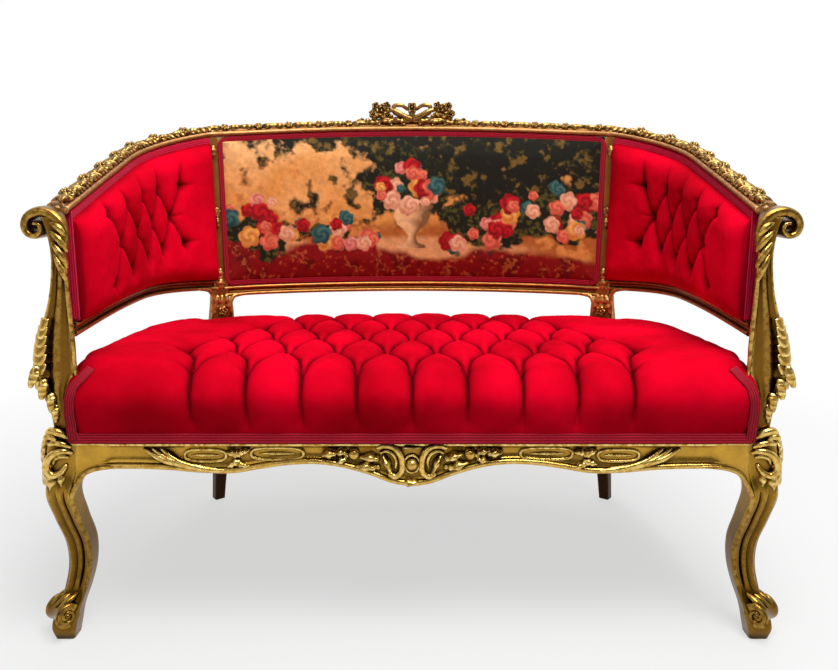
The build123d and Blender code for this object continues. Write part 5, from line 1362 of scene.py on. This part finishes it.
def flower_print(a, b):
    """Printed garden: a golden sky behind dark leafy trees, an ochre lawn with a pale path, a deep red
    border, a stone urn and banks of blossom. a runs across and b up, both in millimetres from the middle."""
    x, y = a / PRINT_UNIT, b / PRINT_UNIT
    fine = foliage(a, b, 26.0, 21)
    broad = foliage(a, b, 90.0, 31)
    grain = foliage(a, b, 9.0, 41)
    trees = ease(-0.10, 0.16, 0.62 * y + 0.26 * np.minimum(x + 1.4, 2.1) - 0.26 + 0.50 * broad + 0.28 * fine)
    lawn = ease(-0.20, -0.34, y + 0.12 * broad)
    way = soft_disc(x, y, 0.1, -0.62, 1.5, 0.16, 0.3) + soft_disc(x, y, -1.9, -0.56, 0.6, 0.10, 0.3)
    red = ease(-0.62, -0.74, y + 0.07 * np.sin(3.1 * x + 0.6) + 0.10 * broad - 0.16 * ease(0.4, -1.4, x))
    layers = [(ease(-0.3, 1.0, y + 0.5 * broad), (250, 224, 160)),
              (0.7 * ease(0.0, 0.7, fine + 0.6 * broad), (190, 128, 60)),
              (trees, (24, 27, 15)),
              (0.8 * trees * ease(0.05, 0.55, fine + 0.5 * grain), (58, 66, 30)),
              (0.7 * trees * ease(0.40, 0.90, fine + 0.7 * grain), (128, 112, 52)),
              (lawn, (178, 116, 54)),
              (lawn * ease(0.0, 0.6, fine), (222, 168, 92)),
              (0.8 * np.clip(way, 0, 1), (240, 206, 150)),
              (red, (140, 16, 20)),
              (0.6 * red * ease(0.1, 0.6, fine), (84, 8, 12)),
              (0.5 * red * ease(0.3, 0.8, grain + 0.4 * fine), (206, 132, 74))]
    for centre, level, wide, tall in BANKS:
        bank = soft_disc(x + 0.22 * fine, y + 0.22 * broad, centre, level, wide, tall, 0.10)
        layers.append((bank, (28, 36, 18)))
        layers.append((0.8 * bank * ease(0.1, 0.7, grain + 0.6 * fine), (92, 100, 46)))
    picture = np.zeros(a.shape + (3,)) + np.array(srgb(226, 176, 92)[:3])
    for share, colour in layers:
        picture = paint_over(picture, share, srgb(*colour))
    profile = np.interp(y, URN_HEIGHTS, URN_HALVES, left=0.0, right=0.0)
    stone = ease(0.0, 0.02, profile - np.abs(x)) * (profile > 0)
    light = np.clip(0.62 - 0.9 * x / np.maximum(profile, 0.05) + 0.3 * fine, 0.1, 1.0)
    urn = paint_over(np.array(srgb(110, 78, 44)[:3]), light, srgb(244, 222, 170))
    picture = paint_over(picture, stone, urn)
    draw = np.random.default_rng(77)
    for centre, level, wide, tall, count in BEDS:
        for _ in range(count):
            turn, reach = draw.uniform(0, 2 * np.pi), math.sqrt(draw.uniform())
            cx, cy = centre + wide * reach * math.cos(turn), level + tall * reach * math.sin(turn)
            size = draw.uniform(0.06, 0.15)
            outer, inner = (srgb(*tint) for tint in BLOOM_TINTS[draw.choice(6, p=BLOOM_ODDS)])
            away = np.hypot(x - cx, y - cy) * (1.0 + 0.12 * fine)
            bearing = np.arctan2(y - cy, x - cx) + draw.uniform(0, 6)
            rim = size * (0.80 + 0.20 * np.abs(np.cos(2.5 * bearing)))
            bloom = ease(1.12, 0.92, away / rim)
            whorl = 0.5 + 0.5 * np.sin(8.0 * away / size + 2.0 * bearing)
            picture = paint_over(picture, bloom, outer)
            picture = paint_over(picture, bloom * 0.7 * whorl, inner)
            picture = paint_over(picture, 0.6 * bloom * ease(0.2, -0.9, (y - cy) / size), inner)
    return np.clip(picture * (0.92 + 0.16 * grain[..., None]), 0.0, 1.0)


# Centre back
BACK_END = STILE_RUN - 9.0
BACK_ROWS = 181
BACK_EDGE = 12.0
BACK_PAD = 9.0
BACK_CROWN = 15.0


def back_cover():
    """Centre back: a crowned pad on the leaning back between the rails, with the print painted on its
    points."""
    run, share, height, bottom, top = panel(-BACK_END, BACK_END, 440, BACK_ROWS)
    near = np.minimum(BACK_END - np.abs(run), np.minimum(height - bottom, top - height))
    crown = np.clip(1 - (run / BACK_END) ** 4, 0, 1) * np.sin(np.pi * share) ** 0.6
    depth = BACK_EDGE + BACK_PAD * pad_edge(near - 10.0, 26.0) + BACK_CROWN * crown * ease(8.0, 60.0, near)
    behind = back_points(run, PAD_BACK, height[:, ::-36])
    points = np.concatenate([back_points(run, -depth, height), behind], axis=1)
    stock = Stock()
    stock.grid(points)
    piece = stock.make("back_cover", PRINT, sharp=60, merge=False,
                       more=("back_foam", "back_webbing"))
    picture = np.zeros(points.shape[:2] + (4,)) + srgb(120, 90, 60)
    picture[:, :BACK_ROWS, :3] = flower_print(run + 0 * share, height - (bottom + top) / 2 - 6.0)
    colours = piece.data.color_attributes.new("Print", "FLOAT_COLOR", "POINT")
    colours.data.foreach_set("color", picture.ravel())


# Gimp braid, as places across half its width and heights
BRAID_PROFILE = np.array([(-1.0, 0.0), (-1.0, 1.2), (-0.93, 2.1), (-0.78, 2.5), (-0.6, 2.1), (-0.42, 2.5),
                          (-0.2, 2.2), (0.0, 2.6), (0.2, 2.2), (0.42, 2.5), (0.6, 2.1), (0.78, 2.5),
                          (0.93, 2.1), (1.0, 1.2), (1.0, 0.0)])
FOOT_BRAID = 17.0
POST_BRAID = 16.0
EDGE_BRAID = 15.0
PANEL_BRAID = 12.5
POST_BRAID_SPOTS = [(548, 3.0), (548, 28.0), (548, 52.0), (547, 72.0), (542, 84.0), (533, 95.0), (522, 106.0)]


def braid_band(stock, path, out, width):
    """Braid along a path lying on a surface that faces out: a flat band with low cords along it."""
    out = np.broadcast_to(out, path.shape)
    steps = np.concatenate([[0.0], np.cumsum(np.linalg.norm(np.diff(path, axis=0), axis=1))])
    at = np.linspace(0.0, steps[-1], max(12, int(steps[-1] / 4.0)))
    path, out = (np.stack([np.interp(at, steps, values[:, axis]) for axis in range(3)], axis=-1)
                 for values in (path, out))
    out = unit(out)
    across = unit(np.cross(out, unit(np.gradient(path, axis=0))))
    stock.grid(carry(BRAID_PROFILE * np.array([width / 2, 1.0]), path, across, out))


def wing_gimp(side):
    """Braid of a wing: along its top edge and down its front end beside the arm post."""
    stock = Stock(side)
    run = np.linspace(WING_START, WING_END, 160)
    braid_band(stock, back_points(run, -13.2, top_underside(run) - 8.0), -directions(run)[1], EDGE_BRAID)
    low = lower_underside(WING_END) + LOWER_RAIL_RISE + 1.0
    level = np.linspace(low, top_underside(WING_END) - 1.0, 70)
    braid_band(stock, back_points(WING_END + 1.0, -9.5, level), directions(WING_END)[0], POST_BRAID)
    # The wing's braid takes the gimp copy painted lighter against the shade of the rail
    stock.make("wing_gimp", PAINTED_LIGHT_BRAID)


def back_gimp():
    """Braid round the centre panel, turning each corner on a small arc."""
    stock = Stock()
    inset, radius = 6.8, 16.0
    turn = np.linspace(0.0, 0.5 * np.pi, 14)
    corners = []
    for quarter, (x, y) in enumerate(((1, 0), (1, 1), (-1, 1), (-1, 0))):
        angle = turn + (quarter - 1) * 0.5 * np.pi
        corners.append(points_of(x * (BACK_END - inset - radius) + radius * np.cos(angle), float(y),
                                 (inset + radius) * (1 - 2 * y) + radius * np.sin(angle)))
    corners = np.concatenate([*corners, corners[0][:1]])
    steps = np.arange(len(corners))
    at = np.linspace(0.0, steps[-1], 900)
    run, part, drop = (np.interp(at, steps, values) for values in corners.T)
    low = lower_underside(run) + LOWER_RAIL_RISE
    level = low + (top_underside(run) - low) * part + drop
    braid_band(stock, back_points(run, -13.0, level), -directions(run)[1], PANEL_BRAID)
    stock.make("back_gimp", BRAID)


def seat_gimp(on_cover):
    """Braid along the foot of the seat in front, up beside each arm post and over the seat's shoulder, and
    along its foot at the sides and the back."""
    stock = Stock()
    level = SEAT_BOTTOM + 8.5
    x = np.linspace(-SEAT_HALF + 4.0, SEAT_HALF - 4.0, 200)
    braid_band(stock, points_of(x, SEAT_FRONT - 4.5, level), [0.0, -1.0, 0.25], FOOT_BRAID)
    for side in (-1, 1):
        found = [on_cover(side * place, length) for place, length in POST_BRAID_SPOTS]
        path = curve([point + 1.5 * normal for point, normal in found], 60)
        path[:12, 1] -= 2.0
        braid_band(stock, path, curve([normal for point, normal in found], 60), POST_BRAID)
    run = np.linspace(-LEG_RUN + 34.0, LEG_RUN - 34.0, 400)
    px, py = plan(run, 6.4)[:2]
    flush = SEAT_HALF + 7.4
    past = np.maximum(np.abs(px) - flush, 0.0) * past_post(py)
    px = np.sign(px) * (np.minimum(np.abs(px), flush) + past)
    braid_band(stock, points_of(px, py, level - 3.0), directions(run)[1], EDGE_BRAID)
    stock.make("seat_gimp", BRAID)


# Outside covers
OUTSIDE_FACE = 13.0
OUTSIDE_BACK = 11.5
OUTSIDE_BELLY = 2.5


def outside_cover(kind, start, end, side=0):
    """Velvet stretched over the outside of the back between the rails: a sheet on the leaning back, bellied
    out a little in its middle, with its thickness."""
    stock = Stock(side)
    run, share, height = panel(start, end, 120, 60)[:3]
    spread = (run - start) / (end - start)
    belly = OUTSIDE_BELLY * (np.sin(np.pi * share) * np.sin(np.pi * spread)) ** 0.7
    belly = belly + 0.3 * cloud(run + 0 * share, height, 60.0, 31)
    outer = back_points(run, OUTSIDE_FACE + belly, height)
    inner = back_points(run, OUTSIDE_BACK + belly, height)
    stock.grid(np.concatenate([outer, inner[:, ::-1]], axis=1))
    piece = stock.make(kind, VELVET)
    tall = np.linalg.norm(np.diff(outer, axis=1), axis=-1).sum(axis=1)
    wide = np.linalg.norm(np.diff(outer, axis=0), axis=-1).sum(axis=0)
    corner = outer[:-1, :-1]
    cut = np.linalg.norm(np.cross(outer[1:, :-1] - corner, outer[:-1, 1:] - corner), axis=-1).sum()


on_cover, seats = seat_cover()
buttons("seat_buttons", seats)
seat_gimp(on_cover)
for side in (1, -1):
    wing_cover(side)
    wing_gimp(side)
    outside_cover("outside_wing_cover", WING_START, WING_END, side)
back_cover()
back_gimp()
outside_cover("outside_back_cover", -BACK_END, BACK_END)

# Finishes of the pieces that stay as the model has them
KEPT = {"front_corner_blocks": BARE_WOOD, "back_corner_blocks": BARE_WOOD, "seat_cross_rail": BARE_WOOD,
        "frame_dowels": BARE_WOOD, "corner_block_screws": STEEL, "seat_webbing": JUTE,
        "dust_cover": DUST_CLOTH}
for name, material in KEPT.items():
    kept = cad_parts[name]
    kept.data.materials.clear()
    kept.data.materials.append(material)

# Floor, light and camera
WHITE = (1.0, 1.0, 1.0, 1.0)
FLOOR_REACH = 14.0
WORLD_LIGHT = 0.2


def studio_floor():
    """Level floor at the height of the feet: white, and away from the settee plain white light where it is
    seen."""
    mesh = bpy.data.meshes.new("Floor")
    line = np.linspace(-FLOOR_REACH, FLOOR_REACH, 5)
    points = points_of(line[:, None], line, -0.0005).reshape(-1, 3)
    index = np.arange(25).reshape(5, 5)
    quads = np.stack([index[:-1, :-1], index[1:, :-1], index[1:, 1:], index[:-1, 1:]], axis=-1)
    mesh.from_pydata(points, [], quads.reshape(-1, 4).tolist())
    f = Finish(bpy.data.materials.new("Pale floor"))
    f.set(Base_Color=srgb(206, 206, 206), Roughness=0.9, Specular_IOR_Level=0.1)
    away = f.add("ShaderNodeVectorMath", {"operation": "LENGTH"}, Vector=f.place["Object"]).outputs["Value"]
    rays = f.add("ShaderNodeLightPath").outputs
    seen = f.sum("MAXIMUM", rays["Is Glossy Ray"], rays["Is Transmission Ray"])
    seen = f.sum("MAXIMUM", rays["Is Camera Ray"], seen)
    share = f.sum("MULTIPLY", seen, f.spread(away, 0.7, 1.8, 0.62, 1.0))
    plain = f.add("ShaderNodeEmission", Color=WHITE, Strength=1.0)
    mix = f.fill(f.add("ShaderNodeMixShader"), (0, share), (1, f.shader.outputs[0]), (2, plain.outputs[0]))
    f.put(f.tree.nodes["Material Output"].inputs["Surface"], mix.outputs[0])
    mesh.materials.append(f.holder)
    floor = bpy.data.objects.new("Floor", mesh)
    bpy.context.scene.collection.objects.link(floor)


def studio_light(name, place, target, size, power):
    """Square soft light aimed at a point."""
    lamp = bpy.data.lights.new(name, "AREA")
    lamp.shape = "SQUARE"
    lamp.size = size
    lamp.energy = power
    holder = bpy.data.objects.new(name, lamp)
    holder.location = place
    x, y, z = np.array(target) - np.array(place)
    holder.rotation_euler = (math.atan2(math.hypot(x, y), -z), 0.0, math.atan2(-x, y))
    bpy.context.scene.collection.objects.link(holder)


def studio_world():
    """Pale world: white where it is seen, in reflections white behind the settee and greyer on the camera's
    side as in a room, and softer as a light."""
    f = Finish(bpy.data.worlds.new("Studio"), "Background")
    bpy.context.scene.world = f.holder
    room = f.spread(f.parts("Generated")[1], -0.6, 0.2, 0.18, 1.0)
    rays = f.add("ShaderNodeLightPath").outputs
    strength = WORLD_LIGHT
    for kind, value in (("Is Glossy Ray", room), ("Is Transmission Ray", 1.0), ("Is Camera Ray", 1.0)):
        mix = f.fill(f.add("ShaderNodeMix"), (0, rays[kind]), (2, strength), (3, value))
        strength = mix.outputs[0]
    f.set(Color=WHITE, Strength=strength)


def photo_camera():
    """Camera at the photograph's place: eye height, level gaze turned five degrees down, frame shifted."""
    lens = bpy.data.cameras.new("Camera")
    lens.sensor_width = 36.0
    lens.lens = 33.51
    lens.shift_x = 0.0084
    lens.shift_y = -0.1193
    camera = bpy.data.objects.new("Camera", lens)
    camera.location = (0.0, -1.5839, 0.792)
    camera.rotation_euler = (math.radians(85.0), 0.0, 0.0)
    bpy.context.scene.collection.objects.link(camera)
    bpy.context.scene.camera = camera


studio_floor()
studio_world()
studio_light("Key", (0.55, -1.3, 3.0), (0.0, -0.1, 0.45), 1.5, 104.0)
studio_light("Fill", (-1.6, -2.6, 1.7), (0.0, 0.0, 0.45), 1.2, 6.0)
studio_light("Top", (0.2, 0.4, 3.0), (0.0, 0.0, 0.4), 2.0, 48.0)
photo_camera()
bpy.context.scene.view_settings.view_transform = "Standard"
